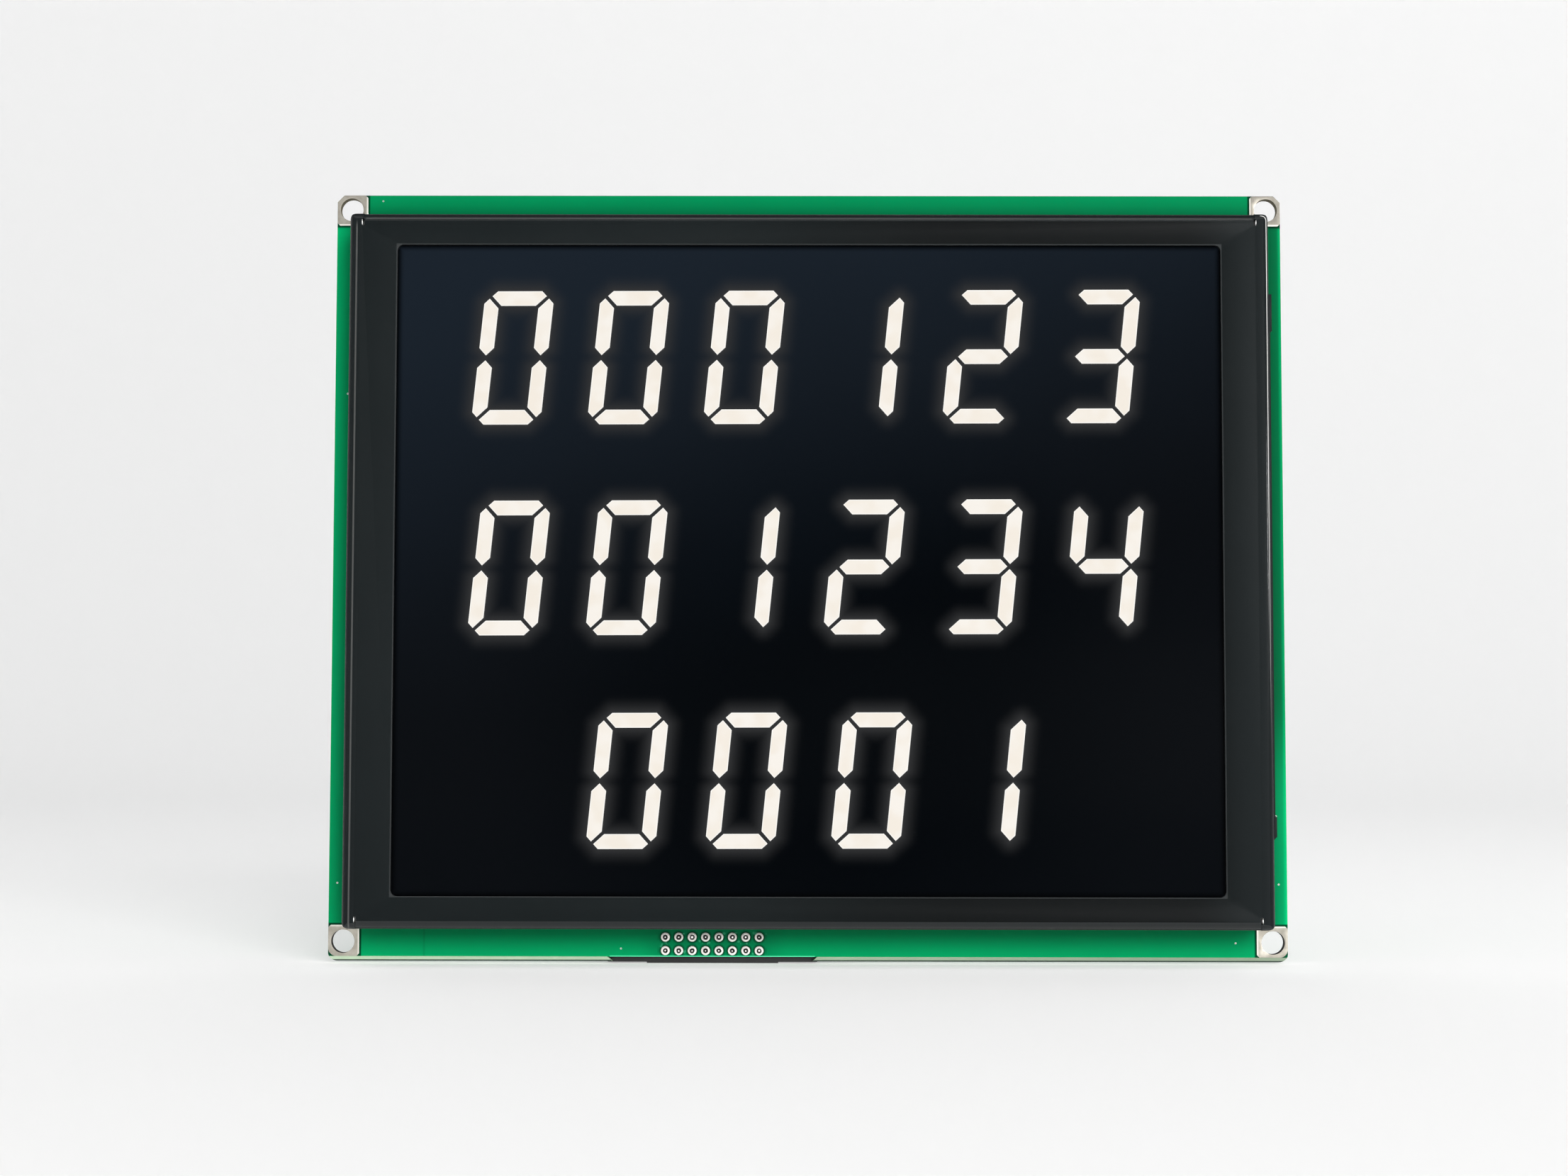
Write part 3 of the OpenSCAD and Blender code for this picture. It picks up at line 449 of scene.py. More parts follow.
def shaded_strips(f, mask, front):
    """The strips of mask beside the bezel: painted shade at its foot, and painted light and shade that give
    each strip its own brightness.
    """
    # Painted shade at the bezel's foot, lighter on the strip below it
    below = f.spread(f.axis("Z"), -BEZEL_Z, -BEZEL_Z + MM, 1.0, 0.0)
    beyond = f.spread(f.outside(BEZEL_X, BEZEL_Z), 1.0 * MM, 5.6 * MM, 1.0, 0.0)
    foot = f.both(front, beyond, f.spread(below, 0.0, 1.0, 1.0, 0.62))
    mask = f.blend(foot, mask, (0.0002, 0.150, 0.053))
    # Painted light and shade strip by strip: darker at the top, lighter at the left, and at the right darker
    # up high, lighter low down and at the board's edge
    painted_top_shade = f.spread(f.axis("Z"), BEZEL_Z - MM, BEZEL_Z, 1.0, 0.68)
    painted_left_light = f.spread(f.axis("X"), -BEZEL_X, -BEZEL_X + MM, 1.08, 1.0)
    right = f.spread(f.axis("X"), BEZEL_X - MM, BEZEL_X)
    low = f.spread(f.axis("Z"), -46.0 * MM, -22.0 * MM, 1.14, 0.49)
    edge = f.spread(f.axis("X"), BOARD_X - 0.8 * MM, BOARD_X - 0.1 * MM, 0.0, 0.60)
    painted_right_light_and_shade = f.where(right, f.math("ADD", low, edge))
    mask = f.scaled(mask, f.where(front, f.both(painted_top_shade, painted_left_light, painted_right_light_and_shade)))
    seam_x = -72.8 * MM
    seam = f.both(front, below, f.spread(f.apart("X", seam_x), 0.05 * MM, 0.30 * MM, 0.22, 0.0))
    return f.blend(seam, mask, (0.0, 0.03, 0.012))


def dark_outlines(f, mask, front):
    """Dark edges of the mask round the corner lands and the pins, painted shade where the header lies behind
    the board, and a painted glint over the header.
    """
    round_land = f.spread(f.from_corner(), LAND_SIZE + 0.26 * MM, LAND_SIZE + 0.48 * MM, 1.0, 0.0)
    mask = f.blend(f.both(front, round_land, 0.9), mask, (0.0, 0.020, 0.009))
    aside = f.apart("X", HEADER_X)
    # Painted shade where the header lies behind the board
    near = f.spread(aside, 9.0 * MM, 15.0 * MM, 1.0, 0.0)
    behind = f.both(near, f.spread(f.axis("Z"), -66.0 * MM, -62.0 * MM, 1.0, 0.0), 0.5)
    mask = f.blend(behind, mask, (0.0004, 0.150, 0.055))
    row_half = PINS_IN_ROW / 2 * PIN_PITCH
    row = f.spread(aside, row_half, row_half + 0.3 * MM, 1.0, 0.0)
    rows = f.spread(f.apart("Z", HEADER_Z), PIN_PITCH - 0.05 * MM, PIN_PITCH, 1.0, 0.0)
    at_pins = f.both(front, row, rows)
    pin = f.radius(f.from_pin("X", HEADER_X), f.from_pin("Z", HEADER_Z))
    ring = f.spread(pin, 0.92 * MM, 1.42 * MM, 0.85, 0.0)
    mask = f.blend(f.both(at_pins, ring), mask, (0.0, 0.030, 0.012))
    scuffs = f.spread(f.noise(1100.0, 1.0), 0.64, 0.70, 0.0, 0.35)
    mask = f.blend(f.both(at_pins, scuffs), mask, (0.08, 0.55, 0.30))
    # Painted glint along the board's lower edge over the header
    over = f.spread(aside, HEADER_HALF - 0.15 * MM, HEADER_HALF + 0.15 * MM, 1.0, 0.0)
    glint = f.spread(f.apart("Z", -BOARD_Z), 0.10 * MM, 0.20 * MM, 1.0, 0.0)
    return f.blend(f.both(front, over, glint), mask, (0.10, 0.80, 0.42))


def masked_copper():
    """A track under the mask: a lighter and yellower green than the bare laminate's."""
    f = Finish("masked_track", roughness=0.20, specular=0.12)
    drift = f.noise(60.0, 2.0)
    f.set("Base Color", f.blend(drift, (0.006, 0.46, 0.17), (0.010, 0.50, 0.19)))
    f.relief(f.noise(900.0, 3.0), 0.006 * MM, 0.3)
    return f.material


def tin(name, roughness, ripple, dark, light):
    """Solder or tinned metal, rippled where it ran."""
    f = Finish(name, metallic=1.0)
    pool = f.noise(520.0, 3.0)
    f.set("Base Color", f.blend(f.spread(pool, 0.3, 0.7), dark, light))
    f.patchy(f.noise(1400.0, 3.0), *roughness)
    f.relief(pool, ripple, 0.6)
    return f.material


def pin_solder():
    """Bright solder round the header's pins, with painted light of its own, and painted shade where it dips
    beside each pin.
    """
    f = Finish("pin_solder", metallic=0.08)
    pool = f.noise(900.0, 3.0)
    tone = f.blend(f.spread(pool, 0.3, 0.7), (0.92, 0.90, 0.85), (0.98, 0.96, 0.92))
    reach = f.radius(f.from_pin("X", HEADER_X), f.from_pin("Z", HEADER_Z))
    reach = f.math("MULTIPLY_ADD", f.noise(1500.0, 0.0), -0.20 * MM, reach)
    # Painted shade where the solder dips beside each pin
    painted_dip_shade = f.both(f.on_front(), f.spread(reach, 0.34 * MM, 0.41 * MM, 1.0, 0.0))
    f.set("Base Color", f.blend(painted_dip_shade, tone, (0.022, 0.024, 0.020)))
    f.patchy(f.noise(1400.0, 3.0), 0.24, 0.36)
    # Painted light: the solder glows a little, but not where it dips
    f.glow(f.blend(painted_dip_shade, (0.10, 0.098, 0.092), (0.0, 0.0, 0.0)))
    f.relief(pool, 0.03 * MM, 0.6)
    return f.material


def tinned_land():
    """Satin tin with a painted highlight along its inner rim, and painted light that makes the lower corners
    lighter.
    """
    f = Finish("tinned_land", metallic=1.0)
    pool = f.noise(520.0, 3.0)
    tone = f.blend(f.spread(pool, 0.3, 0.7), (0.36, 0.335, 0.285), (0.46, 0.435, 0.38))
    # Painted light: lighter on the lower corners
    tone = f.scaled(tone, f.spread(f.axis("Z"), -10.0 * MM, 10.0 * MM, 1.28, 1.0))
    # Painted highlight along the inner rim
    rim = f.spread(f.from_corner(), LAND_SIZE - 0.38 * MM, LAND_SIZE - 0.22 * MM)
    tone = f.blend(rim, tone, (0.88, 0.85, 0.78))
    f.set("Base Color", tone)
    f.patchy(f.noise(1400.0, 3.0), 0.38, 0.55)
    f.relief(pool, 0.02 * MM, 0.6)
    return f.material


def hole_wall():
    """The tin inside a mounting hole, with painted shade: near black low on the board and olive at its top.
    """
    f = Finish("hole_wall", roughness=0.6, specular=0.05)
    # Painted shade, deepest in the lower holes
    high = f.spread(f.axis("Z"), -10.0 * MM, 10.0 * MM)
    f.set("Base Color", f.blend(high, (0.010, 0.009, 0.008), (0.150, 0.135, 0.090)))
    f.relief(f.noise(1200.0, 2.0), 0.01 * MM, 0.4)
    return f.material


def plated_pin():
    """Gold along the contact, tinned where the pin is soldered at the front of the board, with painted shade
    round the bright middle of each tip.
    """
    f = Finish("plated_pin", metallic=1.0)
    soldered = f.spread(f.axis("Y"), -1.4 * MM, -0.8 * MM, 1.0, 0.0)
    gold = f.blend(f.noise(700.0), (0.78, 0.55, 0.20), (0.88, 0.66, 0.30))
    # Painted shade round the edge of each pin's end, leaving its middle bright
    off = f.larger(f.from_pin("X", HEADER_X), f.from_pin("Z", HEADER_Z))
    off = f.math("MULTIPLY_ADD", f.noise(1300.0, 0.0), 0.22 * MM, off)
    tip = f.blend(f.spread(off, 0.22 * MM, 0.29 * MM), (0.92, 0.90, 0.86), (0.015, 0.015, 0.014))
    f.set("Base Color", f.blend(soldered, gold, tip))
    f.patchy(f.noise(2400.0, 2.0), 0.18, 0.32)
    return f.material


def moulded(name, roughness, grain, dark, light):
    """Dark moulding, resin or print with a fine grain."""
    f = Finish(name, specular=0.45)
    texture = f.noise(grain, 3.0)
    f.set("Base Color", f.blend(f.noise(160.0, 2.0), dark, light))
    f.patchy(texture, roughness - 0.06, roughness + 0.06)
    f.relief(texture, 0.012 * MM, 0.4)
    return f.material


def ceramic():
    """The brown fired body of the small capacitors."""
    f = Finish("fired_ceramic", roughness=0.5)
    f.set("Base Color", f.blend(f.noise(1500.0, 3.0), (0.36, 0.25, 0.16), (0.46, 0.34, 0.23)))
    f.relief(f.noise(2600.0, 3.0), 0.012 * MM, 0.4)
    return f.material


# Every finish by a short name, made once
FINISHES = {
    "bezel": coated_steel(),
    "bezel_fold": bent_steel("bezel_fold", 0.24, 0.42),
    "bezel_side_fold": bent_steel("bezel_side_fold", 0.14, 0.14),
    "cut_edge": cut_edge(),
    "film": dark_film(),
    "lit": lit_segment(),
    "rim": lit_rim(),
    "segment_edge": moulded("segment_edge", 0.30, 900.0, (0.0020, 0.0024, 0.0030), (0.0030, 0.0034, 0.0040)),
    "front_glass": clear_glass("front_glass", (0.93, 0.97, 0.97)),
    "rear_glass": clear_glass("rear_glass", (0.90, 0.95, 0.95)),
    "guide": clear_glass("light_guide", (0.94, 0.98, 1.0)),
    "rubber": striped_rubber(),
    "diffuser": white_film("diffuser_film", 0.8),
    "reflector": white_film("reflector_film", 0.35),
    "white_plastic": white_plastic(),
    "lamp": lamp_lens(),
    "mask": solder_mask(),
    "track": masked_copper(),
    "land": tinned_land(),
    "hole_wall": hole_wall(),
    "pin_solder": pin_solder(),
    "solder": tin("bright_solder", (0.14, 0.26), 0.03 * MM, (0.80, 0.80, 0.79), (0.92, 0.92, 0.91)),
    "lead": tin("tinned_lead", (0.22, 0.36), 0.01 * MM, (0.62, 0.62, 0.61), (0.78, 0.78, 0.77)),
    "pin": plated_pin(),
    "black_plastic": moulded("moulded_black", 0.42, 2600.0, (0.010, 0.010, 0.011), (0.016, 0.016, 0.017)),
    "latch_plastic": moulded("latch_black", 0.36, 2600.0, (0.012, 0.012, 0.013), (0.018, 0.018, 0.019)),
    "resin": moulded("chip_resin", 0.58, 3400.0, (0.014, 0.014, 0.015), (0.022, 0.022, 0.023)),
    "resistor_top": moulded("resistor_glaze", 0.30, 1800.0, (0.010, 0.010, 0.012), (0.018, 0.018, 0.020)),
    "ceramic": ceramic(),
}

# CAD nodes that show as they are, and their finishes
KEPT_NODES = {
    "front_glass": "front_glass", "rear_glass": "rear_glass", "rear_polariser": "film",
    "contact_strip_top": "rubber", "contact_strip_bottom": "rubber", "diffuser": "diffuser",
    "light_guide": "guide", "reflector": "reflector", "backlight_housing": "white_plastic",
    "led_board_left": "mask", "led_board_right": "mask", "leds_left": "lamp", "leds_right": "lamp",
    "backlight_leads": "lead", "board": "mask", "header_pins": "pin",
}


def dress_kept_nodes():
    """Gives the CAD nodes that show as they are their finishes."""
    for node, finish in KEPT_NODES.items():
        mesh = NODES[node].data
        mesh.materials.clear()
        mesh.materials.append(FINISHES[finish])


# ---------------------------------------------------------------- making pieces
WELD = 0.001 * MM
EDGE_STEPS = 2
SHARP = math.radians(40.0)


def piece(name, shape, finishes, body="module", replaces=(), smooth=30.0):
    """Turns a finished bmesh into a piece that rides on a body and stands for its nodes."""
    mesh = bpy.data.meshes.new(name)
    shape.to_mesh(mesh)
    shape.free()
    for finish in finishes:
        mesh.materials.append(FINISHES[finish])
    mesh.shade_smooth()
    mesh.set_sharp_from_angle(angle=math.radians(smooth))
    made = bpy.data.objects.new(name, mesh)
    bpy.context.scene.collection.objects.link(made)
    if replaces:
        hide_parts(*replaces)
    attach(made, body)
    return made


def close_up(shape):
    """Merges what a spin left double, closes its open ends and turns its faces outwards."""
    bmesh.ops.remove_doubles(shape, verts=shape.verts, dist=WELD)
    bmesh.ops.holes_fill(shape, edges=[e for e in shape.edges if e.is_boundary], sides=0)
    bmesh.ops.recalc_face_normals(shape, faces=shape.faces)


def closed_copy(node):
    """A CAD node's shape as one closed mesh with its flat faces whole."""
    shape = bmesh.new()
    shape.from_mesh(NODES[node].data)
    bmesh.ops.remove_doubles(shape, verts=shape.verts, dist=WELD / 2)
    bmesh.ops.dissolve_limit(
        shape, angle_limit=math.radians(0.5), verts=shape.verts, edges=shape.edges,
        use_dissolve_boundaries=False,
    )
    return shape


def break_edges(shape, width):
    """Rounds every edge where two faces meet sharply."""
    edges = [e for e in shape.edges if e.is_manifold and e.calc_face_angle(0.0) > SHARP]
    bmesh.ops.bevel(
        shape, geom=edges, offset=width, offset_type="OFFSET", segments=EDGE_STEPS, profile=0.5,
        affect="EDGES", clamp_overlap=True, material=-1,
    )


def softened(node, width, finishes, body="module", zone=None):
    """A copy of a CAD node with its sharp edges broken; zone picks a face's finish by its middle."""
    shape = closed_copy(node)
    if zone:
        for face in shape.faces:
            face.material_index = zone(face)
    break_edges(shape, width)
    piece(node + "_part", shape, finishes, body, (node,))


# How far a face of the bezel faces forward, by its normal, where it is a wall or a bend
WALL_LEAN = 0.3
BEND_LEAN = (0.5, 0.985)


def make_bezel():
    """The flats, the shinier bends between them and the bare walls of the four relief slits."""
    finishes = ("bezel", "bezel_fold", "bezel_side_fold", "cut_edge")
    flat, fold, side_fold, slit_wall = range(len(finishes))

    def zone(face):
        middle = face.calc_center_median()
        across, forward, upward = (abs(part) for part in face.normal)
        in_slit = abs(abs(middle.x) - SLIT_X) < SLIT_HALF_X and abs(abs(middle.z) - SLIT_Z) < SLIT_HALF_Z
        if forward < WALL_LEAN:
            return slit_wall if in_slit and across > 0.9 else flat
        if not BEND_LEAN[0] < forward < BEND_LEAN[1]:
            return flat
        return fold if upward > across else side_fold

    softened("bezel", 0.07 * MM, finishes, zone=zone)


# ---------------------------------------------------------------- display
def front_faces(shape):
    return [f for f in shape.faces if f.normal.y < -0.9]


# Each printed row lies a little askew in the glass: shift along X, stretch, shift along Z, tilt
ROW_SET = {
    "top": (0.05 * MM, -0.0020, -0.575 * MM, 0.0037),
    "middle": (0.03 * MM, -0.0026, -0.23 * MM, 0.0041),
    "bottom": (0.03 * MM, -0.0055, -0.10 * MM, 0.0034),
}


def lit_row(row):
    """The CAD row's shape, set where the print lies."""
    shift, stretch, rise, tilt = ROW_SET[row]
    shape = closed_copy("digits_" + row)
    for vert in shape.verts:
        x = vert.co.x
        vert.co.x += shift + stretch * x
        vert.co.z += rise + tilt * x
    return shape


def make_digits():
    """Each lit segment has a thin dark edge and, inside that, a slightly brighter rim."""
    finishes = ("lit", "rim", "segment_edge")
    borders = (("segment_edge", 0.09 * MM), ("rim", 0.20 * MM))
    for row in ROWS:
        shape = lit_row(row)
        faces = front_faces(shape)
        for finish, width in borders:
            made = bmesh.ops.inset_individual(shape, faces=faces, thickness=width, depth=0.0)
            for face in made["faces"]:
                face.material_index = finishes.index(finish)
        piece("lit_row_" + row, shape, finishes, replaces=("digits_" + row,))


def segment_edges():
    """The outlines of all lit segments as pairs of points in the X-Z plane."""
    ends = []
    for row in ROWS:
        shape = lit_row(row)
        for face in front_faces(shape):
            for loop in face.loops:
                a, b = loop.vert.co, loop.link_loop_next.vert.co
                ends.append((a.x, a.z, b.x, b.z))
        shape.free()
    return np.array(ends)


def distance_to_edges(points, ends):
    """The distance from each point to the nearest of the edges, and at most a metre."""
    nearest = np.full(len(points), 1.0)
    for ax, az, bx, bz in ends:
        side = np.array((bx - ax, bz - az))
        rel = points - (ax, az)
        along = np.clip(rel @ side / (side @ side), 0.0, 1.0)
        gap = np.hypot(rel[:, 0] - along * side[0], rel[:, 1] - along * side[1])
        nearest = np.minimum(nearest, gap)
    return nearest


# The film: the mesh of its face, how far that lies behind the segments, and the halo on it
FILM_STEP = 0.6 * MM
FILM_SUNK = 0.03 * MM
HALO_REACH = 3.4 * MM
HALO_POWER = 2.0


def make_film():
    """The dark film in front, fine enough to carry the halo round the lit segments."""
    lo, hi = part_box("front_polariser")
    wide, thick, high = hi - lo
    middle = middle_of("front_polariser")
    shape = bmesh.new()
    bmesh.ops.create_grid(
        shape, x_segments=int(wide / FILM_STEP), y_segments=int(high / FILM_STEP), size=0.5
    )
    bmesh.ops.scale(shape, vec=(wide, high, 1.0), verts=shape.verts)
    upright = Matrix.Rotation(math.pi / 2, 3, "X")
    bmesh.ops.rotate(shape, cent=(0, 0, 0), matrix=upright, verts=shape.verts)
    bmesh.ops.translate(shape, vec=(middle.x, lo.y + FILM_SUNK, middle.z), verts=shape.verts)
    rim = [e for e in shape.edges if e.is_boundary]
    grown = bmesh.ops.extrude_edge_only(shape, edges=rim)["geom"]
    rear = [g for g in grown if isinstance(g, bmesh.types.BMVert)]
    bmesh.ops.translate(shape, vec=(0, thick - FILM_SUNK, 0), verts=rear)
    bmesh.ops.contextual_create(shape, geom=[g for g in grown if isinstance(g, bmesh.types.BMEdge)])
    bmesh.ops.recalc_face_normals(shape, faces=shape.faces)
    film = piece("polariser_film", shape, ("film",), replaces=("front_polariser",))
    places = np.zeros(len(film.data.vertices) * 3)
    film.data.vertices.foreach_get("co", places)
    points = places.reshape(-1, 3)[:, (0, 2)]
    gap = distance_to_edges(points, segment_edges())
    halo = np.clip(1.0 - gap / HALO_REACH, 0.0, 1.0) ** HALO_POWER
    film.data.attributes.new("halo", "FLOAT", "POINT").data.foreach_set("value", halo)


# ---------------------------------------------------------------- board
def make_lands():
    """Tinned corners, with the walls of their holes in a finish of their own."""
    def zone(face):
        middle = face.calc_center_median()
        across = math.hypot(abs(middle.x) - HOLE_X, abs(middle.z) - HOLE_Z)
        return 1 if abs(face.normal.y) < 0.3 and across < HOLE_R + 0.2 * MM else 0

    for corner in ("top_left", "top_right", "bottom_left", "bottom_right"):
        softened("land_" + corner, 0.05 * MM, ("land", "hole_wall"), zone=zone)


JOINT_R = 0.85 * MM
JOINT_HIGH = 0.30 * MM
JOINT_LEAN = 0.25
JOINT_TURNS = 28


def add_ring(shape, x, y, z, profile, turns, forward):
    """Spins (radius, height) pairs about a line off the board: forward is 1 in front, -1 behind."""
    points = [shape.verts.new((x + r, y - forward * h, z)) for r, h in profile]
    edges = [shape.edges.new(pair) for pair in zip(points, points[1:])]
    bmesh.ops.spin(
        shape, geom=points + edges, cent=(x, y, z), axis=(0, 1, 0), angle=2 * math.pi, steps=turns,
        use_merge=True, use_duplicate=False,
    )


def node_centres(node, row_gap):
    """The middles, across X and Z, of the separate solids of a node, row by row."""
    shape = closed_copy(node)
    left = set(shape.verts)
    middles = []
    while left:
        group, edge = set(), [left.pop()]
        while edge:
            vert = edge.pop()
            group.add(vert)
            for link in vert.link_edges:
                other = link.other_vert(vert)
                if other in left:
                    left.discard(other)
                    edge.append(other)
        xs = [v.co.x for v in group]
        zs = [v.co.z for v in group]
        middles.append(((min(xs) + max(xs)) / 2, (min(zs) + max(zs)) / 2))
    shape.free()
    return sorted(middles, key=lambda m: (round(m[1] / row_gap), m[0]))


def make_joints():
    """A bright collar of solder round each pin tip, no two alike, with a crater."""
    chance = random.Random(16)
    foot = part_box("header_solder")[1].y
    shape = bmesh.new()
    for x, z in node_centres("header_solder", MM):
        first = len(shape.verts)
        crater = chance.uniform(0.40, 0.47) * MM
        crest = JOINT_HIGH * chance.uniform(0.86, 1.0)
        profile = [
            (crater, 0.0), (crater, 0.30 * crest), (crater * 1.12, 0.82 * crest), (crater * 1.28, crest),
            (JOINT_R * 0.80, 0.80 * crest), (JOINT_R * 0.95, 0.42 * crest),
            (JOINT_R, 0.04 * crest), (JOINT_R, 0.0),
        ]
        add_ring(shape, x, foot, z, profile, JOINT_TURNS, 1.0)
        shape.verts.ensure_lookup_table()
        leans = (chance.uniform(-JOINT_LEAN, JOINT_LEAN), chance.uniform(-JOINT_LEAN, JOINT_LEAN))
        to_foot = Matrix.Translation((x, foot, z))
        lean = to_foot @ Matrix.Shear("XZ", 4, leans) @ to_foot.inverted()
        for vert in shape.verts[first:]:
            if vert.co.y < foot - 0.01 * MM:
                vert.co = lean @ vert.co
    close_up(shape)
    piece("pin_joints", shape, ("pin_solder",), replaces=("header_solder",), smooth=60.0)


# ---------------------------------------------------------------- rear of the board
TRACK_HIGH = 0.035 * MM


def tracks(name, routes, width):
    """Flat raised tracks along routes of (x, z) points in millimetres."""
    curve = bpy.data.curves.new(name, "CURVE")
    curve.dimensions = "3D"
    curve.bevel_depth = width / 2
    curve.bevel_resolution = 1
    curve.use_fill_caps = True
    for route in routes:
        spline = curve.splines.new("POLY")
        spline.points.add(len(route) - 1)
        for point, (x, z) in zip(spline.points, route):
            point.co = (x * MM, 0.0, z * MM, 1.0)
    drawn = bpy.data.objects.new(name + "_drawn", curve)
    bpy.context.scene.collection.objects.link(drawn)
    bpy.context.view_layer.update()
    finished = drawn.evaluated_get(bpy.context.evaluated_depsgraph_get())
    mesh = bpy.data.meshes.new_from_object(finished)
    shape = bmesh.new()
    shape.from_mesh(mesh)
    bpy.data.objects.remove(drawn)
    bpy.data.meshes.remove(mesh)
    bmesh.ops.scale(shape, vec=(1.0, 2 * TRACK_HIGH / width, 1.0), verts=shape.verts)
    bmesh.ops.translate(shape, vec=(0.0, BOARD_REAR, 0.0), verts=shape.verts)
    piece(name, shape, ("track",))


# The drivers' leads, in millimetres, and where the tracks from them turn and end
LAST_LEAD = 5
LEADS = range(-LAST_LEAD, LAST_LEAD + 1)
LEAD_PITCH = 0.8
LEAD_REACH = 6.1
FAN_OUT = 2.0
FAN_STEP = 0.55
FAN_PITCH = 2.3
FAN_ENDS = ((1, 58.0), (-1, -42.0))
SIDE_FIRST = 8.5
SIDE_PITCH = 1.5
SIDE_TOP = 50.0
SIDE_FOOT = -34.0
SIDE_BEND = 1.2


def fan_routes():
    """Tracks that fan out from both drivers to rows of vias above and below them."""
    routes, vias = [], []
    driver = middle_of("driver_right") / MM
    for cx in (-driver.x, driver.x):
        for i in LEADS:
            for up, far in FAN_ENDS:
                x0, z0 = cx + LEAD_PITCH * i, driver.z + up * LEAD_REACH
                x1 = cx + FAN_PITCH * i
                turn = z0 + up * (FAN_OUT + FAN_STEP * (LAST_LEAD - abs(i)))
                routes.append([(x0, z0), (x0, turn), (x1, turn + up * abs(x1 - x0)), (x1, far)])
                vias.append((x1, far))
            up, far = (1, SIDE_TOP) if i > 0 else (-1, SIDE_FOOT)
            nth = LAST_LEAD - abs(i)
            for side in (-1, 1):
                x0, z0 = cx + side * LEAD_REACH, driver.z + LEAD_PITCH * i
                x1 = cx + side * (SIDE_FIRST + SIDE_PITCH * nth)
                routes.append([(x0, z0), (x1 - side * SIDE_BEND, z0), (x1, z0 + up * SIDE_BEND), (x1, far)])
                vias.append((x1, far))
    return routes, vias


# Places behind the header, in millimetres: the resistors across, and stops up the board
RESISTORS_X = (-17.0, -13.0, -9.0, -5.0, -1.0)
PINS_END_Z = -67.0
RESISTOR_FOOT_Z = -57.6
RESISTOR_TOP_Z = -55.6
RESISTOR_VIAS_Z = -49.0
PIN_VIAS_Z = -52.0
BEND_Z = -62.5


def header_routes():
    """Tracks from the header's upper pins, most of them by way of a resistor."""
    routes, vias = [], []
    pins = [(HEADER_X + PIN_PITCH * (i - (PINS_IN_ROW - 1) / 2)) / MM for i in range(PINS_IN_ROW)]
    direct = len(pins) - len(RESISTORS_X)
    for pin, across in zip(pins[direct:], RESISTORS_X):
        aside = abs(across - pin)
        bend = BEND_Z + aside / 2
        routes.append([(pin, PINS_END_Z), (pin, bend - aside), (across, bend), (across, RESISTOR_FOOT_Z)])
        routes.append([(across, RESISTOR_TOP_Z), (across, RESISTOR_VIAS_Z)])
        vias.append((across, RESISTOR_VIAS_Z))
    for pin in pins[:direct]:
        routes.append([(pin, PINS_END_Z), (pin, PIN_VIAS_Z)])
        vias.append((pin, PIN_VIAS_Z))
    return routes, vias


# The backlight's supply, in millimetres: from each side to the transistor or a via, and over the top
SUPPLY_VIA = (-36.0, -49.6)
SUPPLY_ROUTES = (
    [(83.6, -2.5), (83.6, -44.0), (78.0, -49.6), (24.0, -49.6), (18.0, -54.6)],
    [(-83.6, -2.5), (-83.6, -44.0), (-78.0, -49.6), SUPPLY_VIA],
    [(83.6, 2.5), (83.6, 62.0), (78.0, 64.0), (-78.0, 64.0), (-83.6, 62.0), (-83.6, 2.5)],
)

VIA_TURNS = 12
VIA_SECTION = ((0.16, -0.02), (0.18, 0.03), (0.36, 0.03), (0.38, -0.02))


def via_rings(name, spots, y, forward, size=1.0):
    """A tinned ring round each via, at (x, z) points in millimetres."""
    shape = bmesh.new()
    profile = [(r * size * MM, h * MM) for r, h in VIA_SECTION]
    for x, z in spots:
        add_ring(shape, x * MM, y, z * MM, profile, VIA_TURNS, forward)
    close_up(shape)
    piece(name, shape, ("lead",))


def make_rear():
    """The tracks and vias on the rear of the board."""
    driver_tracks, driver_vias = fan_routes()
    header_tracks, header_vias = header_routes()
    tracks("driver_tracks", driver_tracks, 0.34 * MM)
    tracks("header_tracks", header_tracks, 0.5 * MM)
    tracks("supply_tracks", SUPPLY_ROUTES, 1.6 * MM)
    via_rings("rear_vias", driver_vias + header_vias + [SUPPLY_VIA], BOARD_REAR, -1.0)


# The few small vias that show on the strips beside the bezel, in millimetres
FRONT_VIAS = (
    (-82.2, 71.9), (-35.4, -71.5), (81.1, -70.3), (-88.6, 34.4),
    (-89.4, -59.2), (89.4, -59.2), (88.7, 46.7), (89.0, -46.3),
)


def make_front_vias():
    """The small vias beside the bezel."""
    via_rings("front_vias", FRONT_VIAS, BOARD_FRONT, 1.0, 0.5)


# ---------------------------------------------------------------- rear parts
def beyond_body(node, margin):
    """Tells the leads or end caps of a part, further out than its body, from the body."""
    middle = middle_of(node)
    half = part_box(node)[1] - middle - Vector((margin, 0.0, margin))

    def zone(face):
        away = face.calc_center_median() - middle
        return 1 if abs(away.x) > half.x or abs(away.z) > half.z else 0

    return zone


def make_rear_parts():
    """The chips, small parts and solder behind the board."""
    lead_length = 0.93 * MM
    for node in ("driver_left", "driver_right"):
        leads = beyond_body(node, lead_length)
        softened(node, 0.04 * MM, ("resin", "lead"), zone=leads)
    softened("backlight_transistor", 0.03 * MM, ("resin",))
    softened("resistors", 0.03 * MM, ("resistor_top",))
    softened("capacitors", 0.05 * MM, ("ceramic",))
    softened("lead_solder", 0.06 * MM, ("solder",))


def make_header():
    """The header's box, and its two latches on their own bodies."""
    softened("header_housing", 0.12 * MM, ("black_plastic",))
    for side in ("left", "right"):
        finish = ("latch_plastic",)
        softened("latch_" + side, 0.15 * MM, finish, body=side + "_latch")


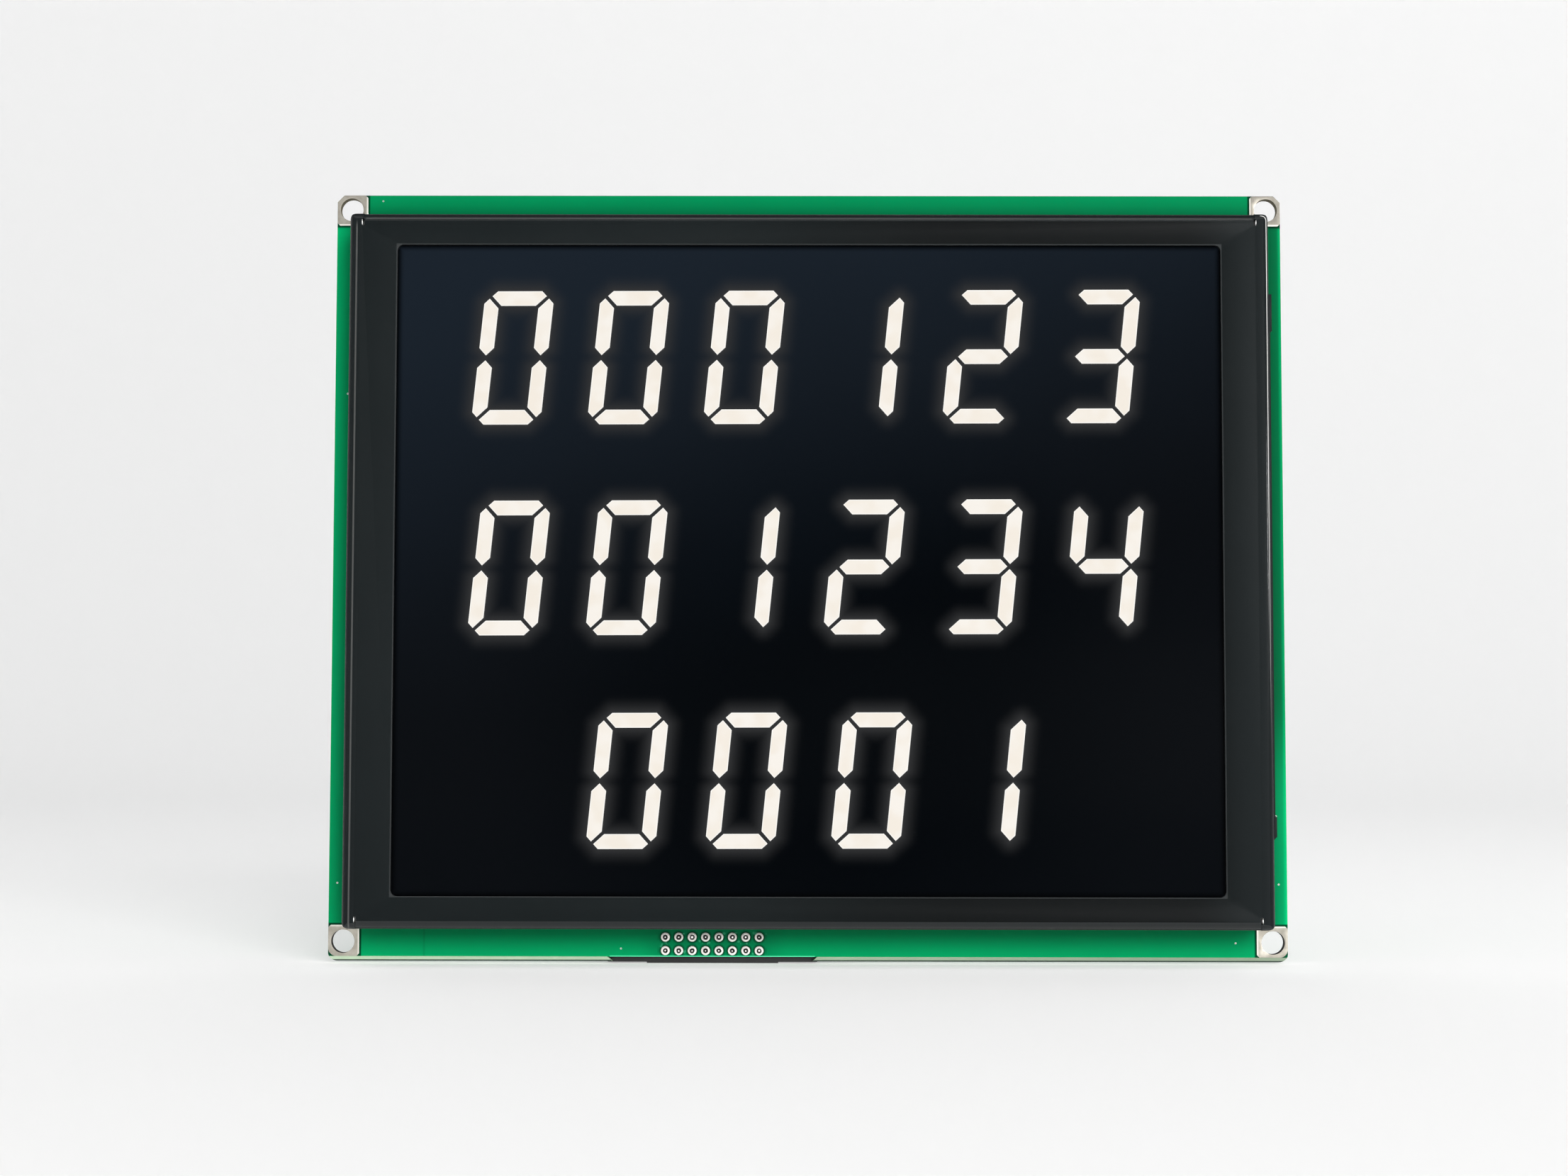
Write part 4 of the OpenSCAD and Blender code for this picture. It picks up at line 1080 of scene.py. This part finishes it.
# ---------------------------------------------------------------- studio
FLOOR_Z = cad_box[0].z
FLOOR_R = 1.5
SWEEP_R = 1.2
SWEEP_STEPS = 12
BACKDROP_TOP = 3.2
STAGE_TURNS = 72


def pale_paper():
    """White paper with a little light of its own to even it out, and clear from behind."""
    paper = Finish("studio_paper", roughness=0.9, specular=0.1)
    paper.set("Base Color", (0.80, 0.80, 0.80))
    # More light at the right, less on the floor near the camera, and more where the part stands
    even = paper.spread(paper.axis("X"), -1.6, 1.6, 0.225, 0.300)
    on_floor = paper.spread(paper.axis("Z"), -0.05, 0.10, 1.0, 0.0)
    near = paper.both(paper.spread(paper.axis("Y"), -0.24, 0.0, 0.06, 0.0), on_floor)
    foot = paper.both(
        paper.spread(paper.axis("Y"), -0.035, -0.002, 0.0, 0.09),
        paper.spread(paper.axis("Y"), 0.0, 0.01, 1.0, 0.0),
        paper.spread(paper.apart("X"), 0.085, 0.105, 1.0, 0.0),
        paper.spread(paper.axis("Z"), -0.05, -0.04, 1.0, 0.0),
    )
    paper.glow((1.0, 1.0, 1.0), paper.math("ADD", paper.less(even, near), foot))
    behind = paper.node("ShaderNodeNewGeometry").outputs["Backfacing"]
    clear = paper.node("ShaderNodeBsdfTransparent").outputs[0]
    seen = paper.node("ShaderNodeMixShader", {0: behind, 1: paper.surface.outputs[0], 2: clear})
    paper.join(paper.tree.nodes["Material Output"].inputs["Surface"], seen.outputs[0])
    return paper.material


def make_stage():
    """A round floor of paper that sweeps up into a wall on every side."""
    shape = bmesh.new()
    section = [(0.0, FLOOR_Z), (FLOOR_R, FLOOR_Z)]
    for i in range(1, SWEEP_STEPS + 1):
        turn = math.pi / 2 * i / SWEEP_STEPS
        section.append((FLOOR_R + SWEEP_R * math.sin(turn), FLOOR_Z + SWEEP_R * (1 - math.cos(turn))))
    section.append((FLOOR_R + SWEEP_R, BACKDROP_TOP))
    line = [shape.verts.new((out, 0.0, up)) for out, up in section]
    edges = [shape.edges.new(pair) for pair in zip(line, line[1:])]
    bmesh.ops.spin(
        shape, geom=line + edges, cent=(0, 0, 0), axis=(0, 0, 1), angle=2 * math.pi,
        steps=STAGE_TURNS, use_merge=True, use_duplicate=False,
    )
    bmesh.ops.remove_doubles(shape, verts=shape.verts, dist=0.01 * MM)
    mid_air = Vector((0.0, 0.0, 0.6))
    for face in shape.faces:
        inward = mid_air - face.calc_center_median()
        if face.normal.dot(inward) < 0:
            face.normal_flip()
    mesh = bpy.data.meshes.new("studio_floor")
    shape.to_mesh(mesh)
    shape.free()
    mesh.materials.append(pale_paper())
    mesh.shade_smooth()
    floor = bpy.data.objects.new("studio_floor", mesh)
    bpy.context.scene.collection.objects.link(floor)


def soft_light(name, place, size, power, colour=(1.0, 1.0, 1.0), mirrored=True, lighting=True):
    """A lamp turned towards the part; it may show in reflections, light surfaces, or both."""
    light = bpy.data.lights.new(name, "AREA")
    light.shape = "RECTANGLE"
    light.size, light.size_y = size
    light.energy = power
    light.color = colour
    lamp = bpy.data.objects.new(name, light)
    lamp.location = place
    lamp.rotation_mode = "QUATERNION"
    lamp.rotation_quaternion = (-Vector(place)).to_track_quat("-Z", "Y")
    lamp.visible_glossy = mirrored
    lamp.visible_diffuse = lighting
    bpy.context.scene.collection.objects.link(lamp)


def make_light():
    """Dim air, a large soft key at the right, a fill from above and two strips at the right."""
    world = bpy.data.worlds.new("studio_air")
    world.use_nodes = True
    air = world.node_tree.nodes["Background"]
    air.inputs["Color"].default_value = (0.93, 0.96, 1.0, 1.0)
    air.inputs["Strength"].default_value = 0.10
    bpy.context.scene.world = world
    warm = (1.0, 0.99, 0.98)
    soft_light("front_key", (0.54, -1.875, 0.60), (1.05, 0.75), 36.0, warm, mirrored=False)
    soft_light("top_fill", (0.0, -0.7, 1.5), (1.6, 1.0), 2.5)
    soft_light("side_strip", (1.40, -0.10, 0.25), (0.25, 0.9), 2.5)
    soft_light("edge_strip", (1.00, -1.19, 0.25), (0.05, 0.36), 8.0, lighting=False)
    bpy.context.scene.view_settings.view_transform = "Standard"


place_camera()
dress_kept_nodes()
make_bezel()
make_digits()
make_film()
make_lands()
make_joints()
make_rear()
make_front_vias()
make_rear_parts()
make_header()
make_stage()
make_light()
